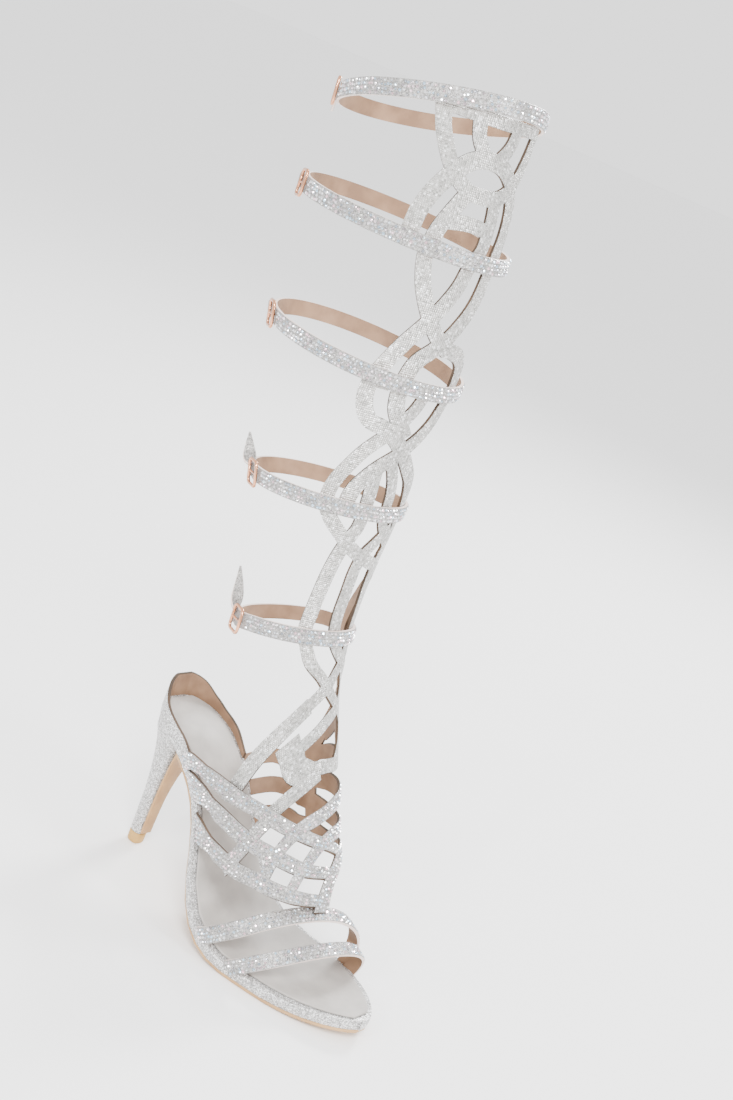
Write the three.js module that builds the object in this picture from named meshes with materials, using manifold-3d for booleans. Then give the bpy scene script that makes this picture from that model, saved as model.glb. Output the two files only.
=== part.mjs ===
// Right gladiator sandal with a slim high heel. Millimetres, +Z up, toe toward -Y, the wearer's
// inner (medial) side toward +X. The origin is the middle of the heel tip's bottom face.
import * as THREE from 'three';
import { mergeVertices } from 'three/addons/utils/BufferGeometryUtils.js';
import Module from 'manifold-3d';

const wasm = await Module();
wasm.setup();
const { Manifold, Mesh: Body } = wasm;

// Driving sizes
const heelRise = 96;          // underside of the seat above the floor
const soleLength = 219;       // heel back to toe tip, level with the floor
const ballWidth = 80;         // sole across the ball
const soleBack = -12;         // heel back, measured from the heel tip's middle
const heelRound = 23;         // rounding of the sole's back end
const toeRound = 60;          // rounding of the sole's toe end
const ankleRise = 200;        // middle of the ankle ring above the floor
const shaftLean = -0.125;     // rearward lean of the shaft for each unit of height
const ankleForward = 47;      // middle of the ankle ring, forward of the heel tip
const ankleInward = 2;        // middle of the ankle ring toward the medial side
const gridSquare = 10;        // side of one square of the drawn pattern
const flareRun = 6;           // squares over which a cage band's flare fades out
const clearance = 0.3;        // gap between neighbouring pieces
const shaftWall = 1.8;        // pierced panel
const cageWall = 2;           // foot straps and heel counter
const strapWall = 2;          // calf straps
const strapWidth = 9.5;       // calf straps
const outsoleThick = 2.5;
const midsoleThick = 6;
const insoleThick = 1.5;
const outsoleInset = 1.2;
const edgeRound = 0.7;        // easing of the midsole's edges
const seatInset = 0.8;        // heel top inside the sole's edge
const insoleInset = 5;
const heelTipHeight = 7.5;
const heelTipHalf = 5.2;
const breastThick = 1.2;
const buckleLong = 13;        // along the strap
const buckleWide = 14.5;      // across the strap
const buckleBar = 1;          // radius of the frame's bar
const prongBar = 0.7;         // radius of the prong

const outerFace = shaftWall + clearance;
const midsoleLow = outsoleThick + clearance;
const midsoleTop = midsoleLow + midsoleThick;
const insoleLow = midsoleTop + clearance;
const soleTip = soleBack + soleLength;
const insoleStart = soleBack + insoleInset;
const insoleEnd = soleTip - insoleInset;

// Sole: along and rise are shares of the sole length and heel rise, the rest of the ball width.
const soleForm = {
  columns: ['along', 'rise', 'centre', 'half'],
  rows: [
    [0.000, 1.000, 0.000, 0.294],
    [0.100, 0.943, 0.000, 0.305],
    [0.155, 0.896, 0.000, 0.318],
    [0.215, 0.807, 0.000, 0.311],
    [0.260, 0.714, -0.003, 0.304],
    [0.310, 0.573, -0.017, 0.312],
    [0.365, 0.411, -0.050, 0.350],
    [0.410, 0.286, -0.080, 0.392],
    [0.457, 0.182, -0.092, 0.432],
    [0.502, 0.104, -0.089, 0.462],
    [0.548, 0.048, -0.066, 0.484],
    [0.603, 0.012, -0.030, 0.503],
    [0.640, 0.000, -0.004, 0.503],
    [0.740, 0.000, 0.042, 0.478],
    [0.813, 0.008, 0.059, 0.451],
    [0.886, 0.027, 0.062, 0.420],
    [0.945, 0.050, 0.054, 0.386],
    [1.000, 0.070, 0.050, 0.325],
  ],
};

// Foot: ribs from the sole to the ridge of the instep, as shares of the ankle rise. Each rib
// has a base point, a ridge point, the widest half widths, the half widths where it meets the
// sole, a sideways shift and the height of its widest place above the base.
const footForm = {
  columns: ['baseOn', 'baseUp', 'ridgeOn', 'ridgeUp', 'lateral', 'medial', 'lateralFoot',
    'medialFoot', 'shift', 'lift'],
  rows: [
    [0.800, 0.049, 0.815, 0.180, 0.155, 0.215, 0.140, 0.182, 0.030, 0.045],
    [0.700, 0.048, 0.750, 0.235, 0.195, 0.215, 0.171, 0.188, 0.025, 0.060],
    [0.610, 0.054, 0.703, 0.335, 0.210, 0.205, 0.186, 0.173, 0.020, 0.075],
    [0.520, 0.083, 0.668, 0.415, 0.205, 0.195, 0.187, 0.140, 0.015, 0.090],
    [0.440, 0.133, 0.630, 0.500, 0.195, 0.190, 0.170, 0.115, 0.012, 0.105],
    [0.370, 0.208, 0.590, 0.590, 0.180, 0.185, 0.145, 0.102, 0.010, 0.120],
    [0.300, 0.305, 0.545, 0.690, 0.170, 0.180, 0.115, 0.098, 0.010, 0.135],
    [0.225, 0.385, 0.500, 0.785, 0.170, 0.180, 0.103, 0.100, 0.010, 0.135],
    [0.160, 0.440, 0.463, 0.880, 0.168, 0.175, 0.105, 0.105, 0.010, 0.130],
  ],
};

// Leg: rings square to the leaning axis; height above the ankle ring, half width and the depth
// in front of and behind the axis, as shares of the ankle rise.
const legForm = {
  columns: ['height', 'across', 'deep', 'back'],
  rows: [
    [-0.070, 0.160, 0.195, 0.125],
    [0.000, 0.155, 0.188, 0.128],
    [0.200, 0.170, 0.203, 0.172],
    [0.390, 0.195, 0.228, 0.228],
    [0.585, 0.225, 0.255, 0.255],
    [0.780, 0.253, 0.280, 0.280],
    [0.975, 0.270, 0.298, 0.298],
    [1.140, 0.275, 0.303, 0.303],
    [1.310, 0.270, 0.298, 0.285],
    [1.475, 0.263, 0.290, 0.258],
    [1.600, 0.263, 0.290, 0.255],
  ],
};

// Pierced panel: each strand is a width and its middle line, both in grid squares, across the
// front (medial positive) and up from the ankle ring.
const panelStrands = {
  columns: ['width', 'line'],
  rows: [
    [0.85, [[-5.1, 30.4], [-4.65, 28.9], [-3.85, 27.4], [-2.8, 26.5], [-1.7, 26.35], [-0.6, 26.5],
      [0.45, 27.4], [1.25, 28.9], [1.7, 30.4]]],
    [0.95, [[-5.25, 23.2], [-5.0, 24.8], [-4.45, 26.1], [-3.6, 27.3], [-2.7, 28.05], [-1.7, 28.25],
      [-0.7, 28.05], [0.2, 27.3], [0.75, 26.1], [0.85, 24.8], [0.6, 23.4], [0.4, 22.6], [0.2, 21.4],
      [-0.1, 20.4], [-0.6, 19.4], [-1.1, 18.6], [-1.75, 17.85], [-2.5, 17.0], [-2.75, 16.0],
      [-2.75, 15.0], [-2.5, 14.1], [-1.9, 13.3], [-1.3, 12.6]]],
    [0.80, [[-3.05, 30.4], [-2.75, 29.2], [-2.1, 28.3]]],
    [0.80, [[-0.35, 30.4], [-0.65, 29.2], [-1.3, 28.3]]],
    [0.70, [[-5.4, 30.4], [-1.7, 30.3], [2.0, 30.4]]],
    [0.86, [[-2.75, 26.2], [-3.25, 25.3], [-3.68, 24.4], [-3.93, 23.6], [-4.05, 22.6], [-3.75, 21.3],
      [-3.2, 20.2], [-2.55, 19.3], [-1.7, 18.45], [-0.8, 17.9]]],
    [0.90, [[-0.75, 26.2], [-0.65, 25.3], [-0.7, 24.4], [-0.8, 23.6], [-1.3, 22.6], [-1.6, 21.5],
      [-2.1, 20.4], [-2.75, 19.2], [-3.55, 17.85], [-4.15, 16.5], [-4.47, 15.5], [-4.45, 14.5],
      [-4.1, 13.6], [-3.55, 13.1], [-2.8, 12.95], [-1.8, 12.4], [-0.9, 11.65], [-0.1, 10.85],
      [0.65, 10.1], [1.15, 9.2], [1.4, 8.4], [1.45, 7.4], [1.5, 6.3], [1.25, 5.3], [1.0, 4.3],
      [1.05, 3.0], [1.2, 1.8], [1.25, 0.5], [1.25, -0.5], [1.05, -1.4], [0.6, -2.2], [-0.1, -2.95],
      [-1.1, -3.55], [-2.3, -4.15]]],
    [0.80, [[-3.4, 24.65], [-2.1, 24.8], [-0.7, 24.65]]],
    [0.90, [[-1.4, 18.1], [-0.4, 17.95], [0.4, 17.7], [0.9, 17.15], [1.05, 16.4], [1.0, 15.5],
      [0.75, 14.6], [0.4, 13.7], [-0.1, 12.9], [-0.7, 12.2], [-1.4, 11.4], [-2.15, 10.6],
      [-2.7, 9.7], [-3.0, 8.8], [-3.0, 7.7]]],
    [0.70, [[-4.6, 15.4], [-2.8, 15.4], [-1.0, 15.4], [1.1, 15.4]]],
    [0.80, [[-0.9, 15.6], [-1.1, 15.2], [-1.35, 14.4], [-1.75, 13.6], [-2.25, 12.8], [-2.8, 12.1],
      [-3.3, 11.35], [-3.7, 10.45], [-4.05, 9.45], [-4.15, 8.55], [-4.0, 7.8], [-3.55, 7.1],
      [-2.8, 6.4], [-1.85, 5.65], [-0.85, 5.1], [0.3, 4.7], [1.3, 4.35], [2.2, 3.8], [2.8, 2.9],
      [3.2, 1.8], [3.5, 0.5], [3.7, -0.8], [3.3, -1.8], [2.6, -2.8], [1.8, -4.0], [0.8, -4.75],
      [-0.2, -5.3], [-1.2, -5.85], [-2.2, -6.3], [-3.0, -6.7]]],
    [0.80, [[-2.15, 10.3], [-2.0, 9.4], [-1.88, 8.5], [-1.8, 7.6], [-1.8, 6.8], [-2.05, 6.0],
      [-2.25, 5.0], [-2.35, 3.8], [-2.4, 2.5], [-2.45, 1.0], [-2.45, 0.0], [-2.2, -0.9],
      [-1.7, -1.9], [-1.0, -2.85], [0.0, -3.7], [1.2, -4.4], [2.4, -4.85], [3.7, -5.1],
      [5.0, -5.2]]],
    [0.70, [[-1.4, 11.0], [-0.9, 10.1], [-0.55, 9.2], [-0.4, 8.3], [-0.3, 7.6], [0.1, 6.95],
      [0.7, 6.35], [1.4, 5.8]]],
    [0.80, [[0.9, 7.0], [0.4, 6.6], [-0.15, 5.95], [-0.65, 5.2], [-0.8, 4.2], [-0.75, 2.8],
      [-0.75, 1.4], [-0.65, 0.5], [-0.35, -0.4], [0.3, -1.2], [1.1, -1.85], [2.0, -2.6],
      [3.0, -3.4]]],
    [1.30, [[2.2, -3.0], [3.3, -3.85], [4.6, -4.5], [5.8, -5.1], [6.7, -5.9], [7.3, -6.8]]],
    [1.15, [[-2.1, -4.1], [-3.3, -4.75], [-4.3, -5.3], [-5.3, -5.9], [-6.2, -6.6], [-7.0, -7.4]]],
    [0.85, [[-2.8, -7.4], [-1.4, -7.95], [0.0, -8.0], [1.5, -7.85], [3.0, -7.1], [4.5, -6.4],
      [5.8, -6.0], [6.8, -6.0]]],
    [1.00, [[-0.8, -8.3], [-2.0, -8.75], [-3.2, -9.15], [-4.3, -9.55]]],
    [1.60, [[-3.4, -5.8], [-3.05, -6.7], [-2.7, -7.6], [-1.8, -8.2]]],
    [0.90, [[2.8, -5.0], [2.6, -6.0], [1.9, -7.0], [1.2, -7.9]]],
  ],
};

// Foot cage: same grid as the panel. Flare is what a band's width gains at the start of its line,
// where it runs onto the lateral side of the sole.
const cageStrands = {
  columns: ['width', 'flare', 'line'],
  rows: [
    [0.70, 0.9, [[-13.4, -3.75], [-12.4, -3.7], [-11.4, -3.65], [-10.6, -3.85], [-10.0, -4.1],
      [-9.0, -4.75], [-8.0, -5.6], [-7.0, -6.7], [-6.0, -7.85], [-5.0, -8.9], [-4.0, -10.0], [-3.0, -10.95],
      [-2.0, -11.75], [-1.0, -12.4], [0.0, -12.8], [1.0, -13.1], [2.0, -13.3], [2.8, -13.3]]],
    [0.72, 1.5, [[-13.4, -4.9], [-12.0, -5.1], [-11.0, -5.4], [-10.0, -5.85], [-9.0, -6.35],
      [-8.0, -7.15], [-7.0, -8.4], [-6.0, -9.75], [-5.0, -10.95], [-4.0, -11.95], [-3.0, -12.87],
      [-2.0, -13.7], [-1.0, -14.27], [0.0, -14.6], [1.0, -14.8]]],
    [0.68, 1.2, [[-13.2, -7.25], [-11.8, -7.45], [-10.8, -7.7], [-9.8, -8.1], [-9.0, -8.6],
      [-8.0, -9.35], [-7.0, -10.6], [-6.0, -11.8], [-5.0, -12.75], [-4.0, -13.75], [-3.0, -14.63],
      [-2.0, -15.4], [-1.0, -15.95], [0.0, -16.35]]],
    [1.05, 0, [[-7.0, -11.05], [-6.37, -10.87], [-5.67, -10.58], [-5.12, -10.2], [-4.4, -9.85]]],
    [0.95, 0, [[-4.7, -13.5], [-4.28, -13.05], [-3.93, -12.52], [-3.43, -12.0], [-2.83, -11.62],
      [-2.0, -11.3], [-1.2, -11.15], [-0.36, -10.95], [1.0, -10.45], [2.4, -9.8], [3.8, -8.9],
      [5.0, -8.1], [6.4, -7.2], [7.8, -6.0], [9.2, -5.0], [10.6, -4.4], [12.8, -4.1],
      [15.0, -4.0]]],
    [0.90, 0, [[-2.7, -15.0], [-2.35, -14.66], [-1.95, -14.14], [-1.38, -13.6], [-0.84, -13.1],
      [-0.1, -12.65], [0.8, -12.3], [1.8, -12.0], [2.9, -11.5], [4.0, -10.85], [5.0, -10.1],
      [6.0, -9.2], [7.5, -7.8], [9.0, -6.8], [10.5, -6.2], [12.4, -5.9], [14.5, -5.8]]],
    [1.00, 0, [[-0.2, -17.0], [0.15, -15.95], [0.6, -15.1], [1.3, -14.33], [2.0, -13.6],
      [2.9, -13.0], [4.0, -12.45], [5.0, -11.8], [6.0, -11.05], [7.5, -9.6], [9.0, -8.5],
      [10.5, -7.9], [12.1, -7.6], [14.2, -7.5]]],
    [0.80, 0, [[6.7, -7.0], [6.85, -8.6], [7.0, -10.2]]],
  ],
};

// Toe straps, as shares of the sole length and the ball width: where they leave the sole on
// each side, and the crown of the arch.
const toeStraps = {
  columns: ['lateralAlong', 'medialAlong', 'crownAlong', 'crownUp', 'crownAcross', 'width'],
  rows: [
    [0.540, 0.775, 0.737, 0.640, 0.040, 0.125],
    [0.655, 0.800, 0.808, 0.455, 0.050, 0.115],
  ],
};

// Heel counter: distance forward of the heel back as a share of the sole length, and height
// above the seat as a share of the heel rise.
const counterForm = {
  columns: ['along', 'height'],
  rows: [
    [0.000, 0.170],
    [0.030, 0.140],
    [0.070, 0.085],
    [0.120, 0.062],
    [0.170, 0.060],
    [0.230, 0.040],
  ],
};

// Heel: level is the share of the way from the tip piece to the seat; half sizes are shares of
// the ball width.
const heelForm = {
  columns: ['level', 'half', 'back', 'front'],
  rows: [
    [0.00, 0.066, 0.066, 0.066],
    [0.30, 0.074, 0.073, 0.075],
    [0.55, 0.098, 0.092, 0.104],
    [0.75, 0.140, 0.120, 0.150],
    [0.88, 0.200, 0.138, 0.210],
    [1.00, 0.285, 0.138, 0.290],
  ],
};

// Calf straps: height up the shaft and rise at the front as shares of the ankle rise; the
// buckle's place in degrees round the leg from the front, medial positive; the loose end's run
// round the leg in degrees, its rise and stand-off in strap widths and its twist in degrees.
const calfStraps = {
  columns: ['height', 'frontRise', 'buckleTurn', 'run', 'tailRise', 'tailOut', 'tailTwist'],
  rows: [
    [1.508, 0.046, -138, -13, -0.9, 0.35, 0],
    [1.183, -0.042, -131, -12, 0.2, 0.3, 0],
    [0.810, -0.042, -131, -12, 0.2, 0.3, 0],
    [0.385, 0.007, -124, -9, 2.1, 0.35, 75],
    [-0.036, 0.028, -114, -16, 3.0, 0.4, 45],
  ],
};

// Helpers
const column = (table, name) => table.columns.indexOf(name);

// Smooth, never overshooting curve through a table's rows.
function read(table, keyName, valueName, at) {
  const k = column(table, keyName);
  const v = column(table, valueName);
  const rows = table.rows;
  const last = rows.length - 1;
  const t = Math.min(Math.max(at, rows[0][k]), rows[last][k]);
  let i = 0;
  while (i < last - 1 && t > rows[i + 1][k]) i += 1;
  const slope = (j) => (rows[j + 1][v] - rows[j][v]) / (rows[j + 1][k] - rows[j][k]);
  const tangent = (j) => {
    if (j === 0) return slope(0);
    if (j === last) return slope(last - 1);
    const a = slope(j - 1);
    const b = slope(j);
    return a * b <= 0 ? 0 : (2 * a * b) / (a + b);
  };
  const span = rows[i + 1][k] - rows[i][k];
  const u = (t - rows[i][k]) / span;
  const u2 = u * u;
  const u3 = u2 * u;
  return (2 * u3 - 3 * u2 + 1) * rows[i][v] + (u3 - 2 * u2 + u) * span * tangent(i)
    + (3 * u2 - 2 * u3) * rows[i + 1][v] + (u3 - u2) * span * tangent(i + 1);
}

function bodyOf(points, triangles) {
  const body = new Body({
    numProp: 3,
    vertProperties: new Float32Array(points.flat()),
    triVerts: new Uint32Array(triangles.flat()),
  });
  body.merge();
  return new Manifold(body);
}

function listsOf(manifold) {
  const mesh = manifold.getMesh();
  const points = [];
  for (let i = 0; i < mesh.vertProperties.length; i += mesh.numProp) {
    points.push(Array.from(mesh.vertProperties.slice(i, i + 3)));
  }
  const triangles = [];
  for (let i = 0; i < mesh.triVerts.length; i += 3) {
    triangles.push(Array.from(mesh.triVerts.slice(i, i + 3)));
  }
  return { points, triangles };
}

// Closed skin over a row of equal rings, capped at both ends unless the row closes on itself.
function skin(rings, closed) {
  const n = rings[0].length;
  const points = rings.flat();
  const triangles = [];
  const turns = closed ? rings.length : rings.length - 1;
  for (let i = 0; i < turns; i += 1) {
    const a = i * n;
    const b = ((i + 1) % rings.length) * n;
    for (let j = 0; j < n; j += 1) {
      const k = (j + 1) % n;
      triangles.push([a + j, a + k, b + k], [a + j, b + k, b + j]);
    }
  }
  if (!closed) {
    const end = (rings.length - 1) * n;
    for (let j = 1; j < n - 1; j += 1) {
      triangles.push([0, j + 1, j], [end, end + j, end + j + 1]);
    }
  }
  return { points, triangles };
}

function volumeOf({ points, triangles }) {
  let sum = 0;
  for (const [a, b, c] of triangles) {
    const [p, q, r] = [points[a], points[b], points[c]];
    sum += p[0] * (q[1] * r[2] - q[2] * r[1]) - p[1] * (q[0] * r[2] - q[2] * r[0])
      + p[2] * (q[0] * r[1] - q[1] * r[0]);
  }
  return sum;
}

// Same skin with its faces pointing out.
function outward(shape) {
  if (volumeOf(shape) > 0) return shape;
  return { points: shape.points, triangles: shape.triangles.map(([a, b, c]) => [a, c, b]) };
}

function solid(shape) {
  const turned = outward(shape);
  return bodyOf(turned.points, turned.triangles);
}

function meshOf(name, { points, triangles }, material) {
  const geometry = new THREE.BufferGeometry();
  geometry.setAttribute('position', new THREE.Float32BufferAttribute(points.flat(), 3));
  geometry.setIndex(triangles.flat());
  const merged = mergeVertices(geometry, 1e-4);
  merged.computeVertexNormals();
  const mesh = new THREE.Mesh(merged, material);
  mesh.name = name;
  return mesh;
}

// Sole
const soleShare = (forward) => (forward - soleBack) / soleLength;
const soleAt = (share) => soleBack + share * soleLength;
const underside = (forward) => heelRise * read(soleForm, 'along', 'rise', soleShare(forward));

function slopeAt(forward) {
  const step = 0.5;
  return (underside(forward + step) - underside(forward - step)) / (2 * step);
}

function roundedEnd(distance, radius) {
  if (distance >= radius) return 1;
  const rest = 1 - Math.max(distance, 0) / radius;
  return Math.sqrt(Math.max(0, 1 - rest * rest));
}

function soleWidths(forward) {
  const share = soleShare(forward);
  const fromBack = forward - soleBack;
  const toTip = soleLength - fromBack;
  const half = ballWidth * read(soleForm, 'along', 'half', share)
    * roundedEnd(fromBack, heelRound) * roundedEnd(toTip, toeRound);
  const centre = ballWidth * read(soleForm, 'along', 'centre', share);
  return { lateral: half - centre, medial: half + centre };
}

// Height of the surface that lies a given thickness above the underside.
function levelAt(forward, above) {
  const slope = slopeAt(forward);
  return underside(forward) + above * Math.sqrt(1 + slope * slope);
}

// A layer of the sole between two thicknesses above the underside. The sides are faceted by
// the listed rim points: inset from the edge and share of the layer's thickness.
function soleLayer(start, end, steps, inset, low, high, rim) {
  const rings = [];
  for (let i = 0; i <= steps; i += 1) {
    const forward = start + (end - start) * (1 - Math.cos((Math.PI * i) / steps)) / 2;
    const { lateral, medial } = soleWidths(forward);
    const ring = [];
    for (const [side, widest] of [[-1, lateral], [1, medial]]) {
      const points = side < 0 ? rim : [...rim].reverse();
      for (const [draw, share] of points) {
        const x = side * Math.max(widest - inset - draw, -0.45 * (lateral + medial - outsoleInset));
        ring.push([x, -forward, levelAt(forward, low + (high - low) * share)]);
      }
    }
    rings.push(ring);
  }
  return skin(rings, false);
}

// Foot and leg form
const leanLength = Math.hypot(1, shaftLean);
const ribs = [];
for (const row of footForm.rows) {
  const take = (name) => ankleRise * row[column(footForm, name)];
  ribs.push({
    base: [take('baseOn'), take('baseUp')],
    ridge: [take('ridgeOn'), take('ridgeUp')],
    sizes: [take('lateral'), take('medial'), take('lateralFoot'), take('medialFoot'),
      take('shift'), take('lift'), 0],
  });
}
const legStart = ribs.length + 1;
for (const row of legForm.rows) {
  const take = (name) => ankleRise * row[column(legForm, name)];
  const height = take('height');
  const base = [ankleForward + (shaftLean * height) / leanLength, ankleRise + height / leanLength];
  const ridge = [base[0] + take('deep') / leanLength,
    base[1] - (shaftLean * take('deep')) / leanLength];
  const across = take('across');
  ribs.push({
    base,
    ridge,
    sizes: [across, across, across, across, ankleInward, 0, take('back')],
  });
}

// Distance up the front ridge, zero at the ankle ring.
const ridgeRun = [0];
for (let i = 1; i < ribs.length; i += 1) {
  const [a, b] = [ribs[i - 1].ridge, ribs[i].ridge];
  ridgeRun.push(ridgeRun[i - 1] + Math.hypot(b[0] - a[0], b[1] - a[1]));
}
const ankleRun = ridgeRun[legStart];
const ribForm = {
  columns: ['run', 'baseOn', 'baseUp', 'ridgeOn', 'ridgeUp', 'lateral', 'medial', 'lateralFoot',
    'medialFoot', 'shift', 'lift', 'back'],
  rows: ribs.map((rib, i) => [ridgeRun[i] - ankleRun, ...rib.base, ...rib.ridge, ...rib.sizes]),
};

const ribCache = new Map();
function ribAt(run) {
  const key = Math.round(run * 1e4);
  if (!ribCache.has(key)) {
    const rib = {};
    for (const name of ribForm.columns.slice(1)) rib[name] = read(ribForm, 'run', name, run);
    rib.tall = Math.hypot(rib.ridgeOn - rib.baseOn, rib.ridgeUp - rib.baseUp);
    rib.radius = (rib.tall - rib.lift + (rib.lateral + rib.medial) / 2) / 2;
    ribCache.set(key, rib);
  }
  return ribCache.get(key);
}

// Point on the form: run up the ridge, angle round the rib and distance outside the form.
function formPoint(run, angle, out) {
  const rib = ribAt(run);
  const wide = angle < 0 ? rib.lateral : rib.medial;
  const foot = angle < 0 ? rib.lateralFoot : rib.medialFoot;
  const ratio = Math.min(foot / wide, 0.9999);
  const below = rib.lift > 0.5
    ? Math.min(rib.lift / Math.sqrt(1 - ratio * ratio), rib.tall) : rib.back;
  const cosine = Math.cos(angle);
  const reach = rib.lift + (cosine > 0 ? rib.tall - rib.lift + out : below + out) * cosine;
  const share = reach / rib.tall;
  return [
    rib.shift + (wide + out) * Math.sin(angle),
    -(rib.baseOn + (rib.ridgeOn - rib.baseOn) * share),
    rib.baseUp + (rib.ridgeUp - rib.baseUp) * share,
  ];
}

// Point round the leg: height above the ankle ring, angle from the front, distance outside.
function legPoint(height, angle, out) {
  const take = (name) => ankleRise * read(legForm, 'height', name, height / ankleRise);
  const cosine = Math.cos(angle);
  const reach = (take(cosine > 0 ? 'deep' : 'back') + out) * cosine;
  return [
    ankleInward + (take('across') + out) * Math.sin(angle),
    -(ankleForward + (shaftLean * height + reach) / leanLength),
    ankleRise + (height - shaftLean * reach) / leanLength,
  ];
}

// Flat pattern
const patternStep = 0.7 * gridSquare;
const patternEdge = 1.1 * gridSquare;

function curve(control, step) {
  const points = [];
  const last = control.length - 1;
  for (let i = 0; i < last; i += 1) {
    const p0 = control[Math.max(i - 1, 0)];
    const p1 = control[i];
    const p2 = control[i + 1];
    const p3 = control[Math.min(i + 2, last)];
    const count = Math.max(1, Math.round(Math.hypot(p2[0] - p1[0], p2[1] - p1[1]) / step));
    for (let j = 0; j < count; j += 1) {
      const t = j / count;
      points.push([0, 1].map((c) => 0.5 * (2 * p1[c] + (p2[c] - p0[c]) * t
        + (2 * p0[c] - 5 * p1[c] + 4 * p2[c] - p3[c]) * t * t
        + (3 * p1[c] - p0[c] - 3 * p2[c] + p3[c]) * t * t * t)));
    }
  }
  points.push(control[last]);
  return points;
}

// Flat strand one unit thick along a middle line.
function strand(width, flare, line) {
  const middle = curve(line.map(([x, y]) => [x * gridSquare, y * gridSquare]), patternStep);
  let run = 0;
  const rings = middle.map((point, i) => {
    const before = middle[Math.max(i - 1, 0)];
    const after = middle[Math.min(i + 1, middle.length - 1)];
    const long = Math.hypot(after[0] - before[0], after[1] - before[1]);
    run += Math.hypot(point[0] - before[0], point[1] - before[1]);
    const share = Math.max(0, 1 - run / (flareRun * gridSquare));
    const half = (gridSquare * (width + flare * share)) / 2;
    const nx = (-(after[1] - before[1]) / long) * half;
    const ny = ((after[0] - before[0]) / long) * half;
    return [
      [point[0] + nx, point[1] + ny, 0],
      [point[0] - nx, point[1] - ny, 0],
      [point[0] - nx, point[1] - ny, 1],
      [point[0] + nx, point[1] + ny, 1],
    ];
  });
  return solid(skin(rings, false));
}

function joined(solids) {
  return solids.reduce((sum, next) => sum.add(next));
}

const edgeKey = (a, b) => (a < b ? `${a}_${b}` : `${b}_${a}`);

// Swap the shared edge of flat neighbours wherever that makes better shaped triangles.
function evened({ points, triangles }) {
  const list = triangles.map((t) => [...t]);
  const flat = (t) => points[t[0]][2] === points[t[1]][2] && points[t[1]][2] === points[t[2]][2];
  const cosAt = (p, q, r) => {
    const [ax, ay, bx, by] = [q[0] - p[0], q[1] - p[1], r[0] - p[0], r[1] - p[1]];
    const long = Math.hypot(ax, ay) * Math.hypot(bx, by) || 1;
    return Math.max(-1, Math.min(1, (ax * bx + ay * by) / long));
  };
  const area = (p, q, r) => (q[0] - p[0]) * (r[1] - p[1]) - (q[1] - p[1]) * (r[0] - p[0]);
  for (let pass = 0; pass < 12; pass += 1) {
    const owners = new Map();
    list.forEach((t, index) => {
      if (!flat(t)) return;
      for (let c = 0; c < 3; c += 1) {
        const key = edgeKey(t[c], t[(c + 1) % 3]);
        if (!owners.has(key)) owners.set(key, []);
        owners.get(key).push([index, c]);
      }
    });
    const used = new Set();
    let swaps = 0;
    for (const pair of owners.values()) {
      if (pair.length !== 2 || used.has(pair[0][0]) || used.has(pair[1][0])) continue;
      const [first, second] = pair.map(([index, c]) => ({ t: list[index], c, index }));
      const [a, b, far] = [0, 1, 2].map((o) => first.t[(first.c + o) % 3]);
      const near = second.t[(second.c + 2) % 3];
      const [pa, pb, pf, pn] = [a, b, far, near].map((i) => points[i]);
      const turn = Math.acos(cosAt(pf, pa, pb)) + Math.acos(cosAt(pn, pa, pb));
      const way = Math.sign(area(pa, pb, pf));
      const sound = area(pf, pn, pb) * way > 1e-3 && area(pn, pf, pa) * way > 1e-3;
      if (turn > Math.PI + 1e-6 && sound && far !== near && !owners.has(edgeKey(far, near))) {
        list[first.index] = [far, near, b];
        list[second.index] = [near, far, a];
        used.add(first.index);
        used.add(second.index);
        swaps += 1;
      }
    }
    if (swaps === 0) break;
  }
  return { points, triangles: list };
}

// Halve every edge that is longer than the limit, neighbours together.
function halved({ points, triangles }, limit) {
  const all = [...points];
  let list = triangles;
  const flatLength = (a, b) => Math.hypot(all[a][0] - all[b][0], all[a][1] - all[b][1]);
  for (let pass = 0; pass < 12; pass += 1) {
    const middles = new Map();
    for (const t of list) {
      let best = limit;
      let pick = -1;
      for (let c = 0; c < 3; c += 1) {
        const long = flatLength(t[c], t[(c + 1) % 3]);
        if (long > best) {
          best = long;
          pick = c;
        }
      }
      if (pick >= 0) middles.set(edgeKey(t[pick], t[(pick + 1) % 3]), -1);
    }
    if (middles.size === 0) break;
    for (const key of middles.keys()) {
      const [a, b] = key.split('_').map(Number);
      middles.set(key, all.length);
      all.push([0, 1, 2].map((c) => (all[a][c] + all[b][c]) / 2));
    }
    const next = [];
    const divide = (t) => {
      for (let c = 0; c < 3; c += 1) {
        const middle = middles.get(edgeKey(t[c], t[(c + 1) % 3]));
        if (middle !== undefined) {
          divide([t[c], middle, t[(c + 2) % 3]]);
          divide([middle, t[(c + 1) % 3], t[(c + 2) % 3]]);
          return;
        }
      }
      next.push(t);
    };
    list.forEach(divide);
    list = next;
  }
  return { points: all, triangles: list };
}

// Flat pattern laid over the form.
function bent(manifold, inner, wall, limit) {
  const shape = evened(halved(evened(listsOf(manifold)), limit));
  const points = shape.points.map(([x, y, level]) => (
    formPoint(y, x / ribAt(y).radius, inner + wall * level)));
  return outward({ points, triangles: shape.triangles });
}

// Pieces
function shaftPanel() {
  const flat = joined(panelStrands.rows.map(([width, line]) => strand(width, 0, line)));
  return bent(flat, 0, shaftWall, patternEdge);
}

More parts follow.
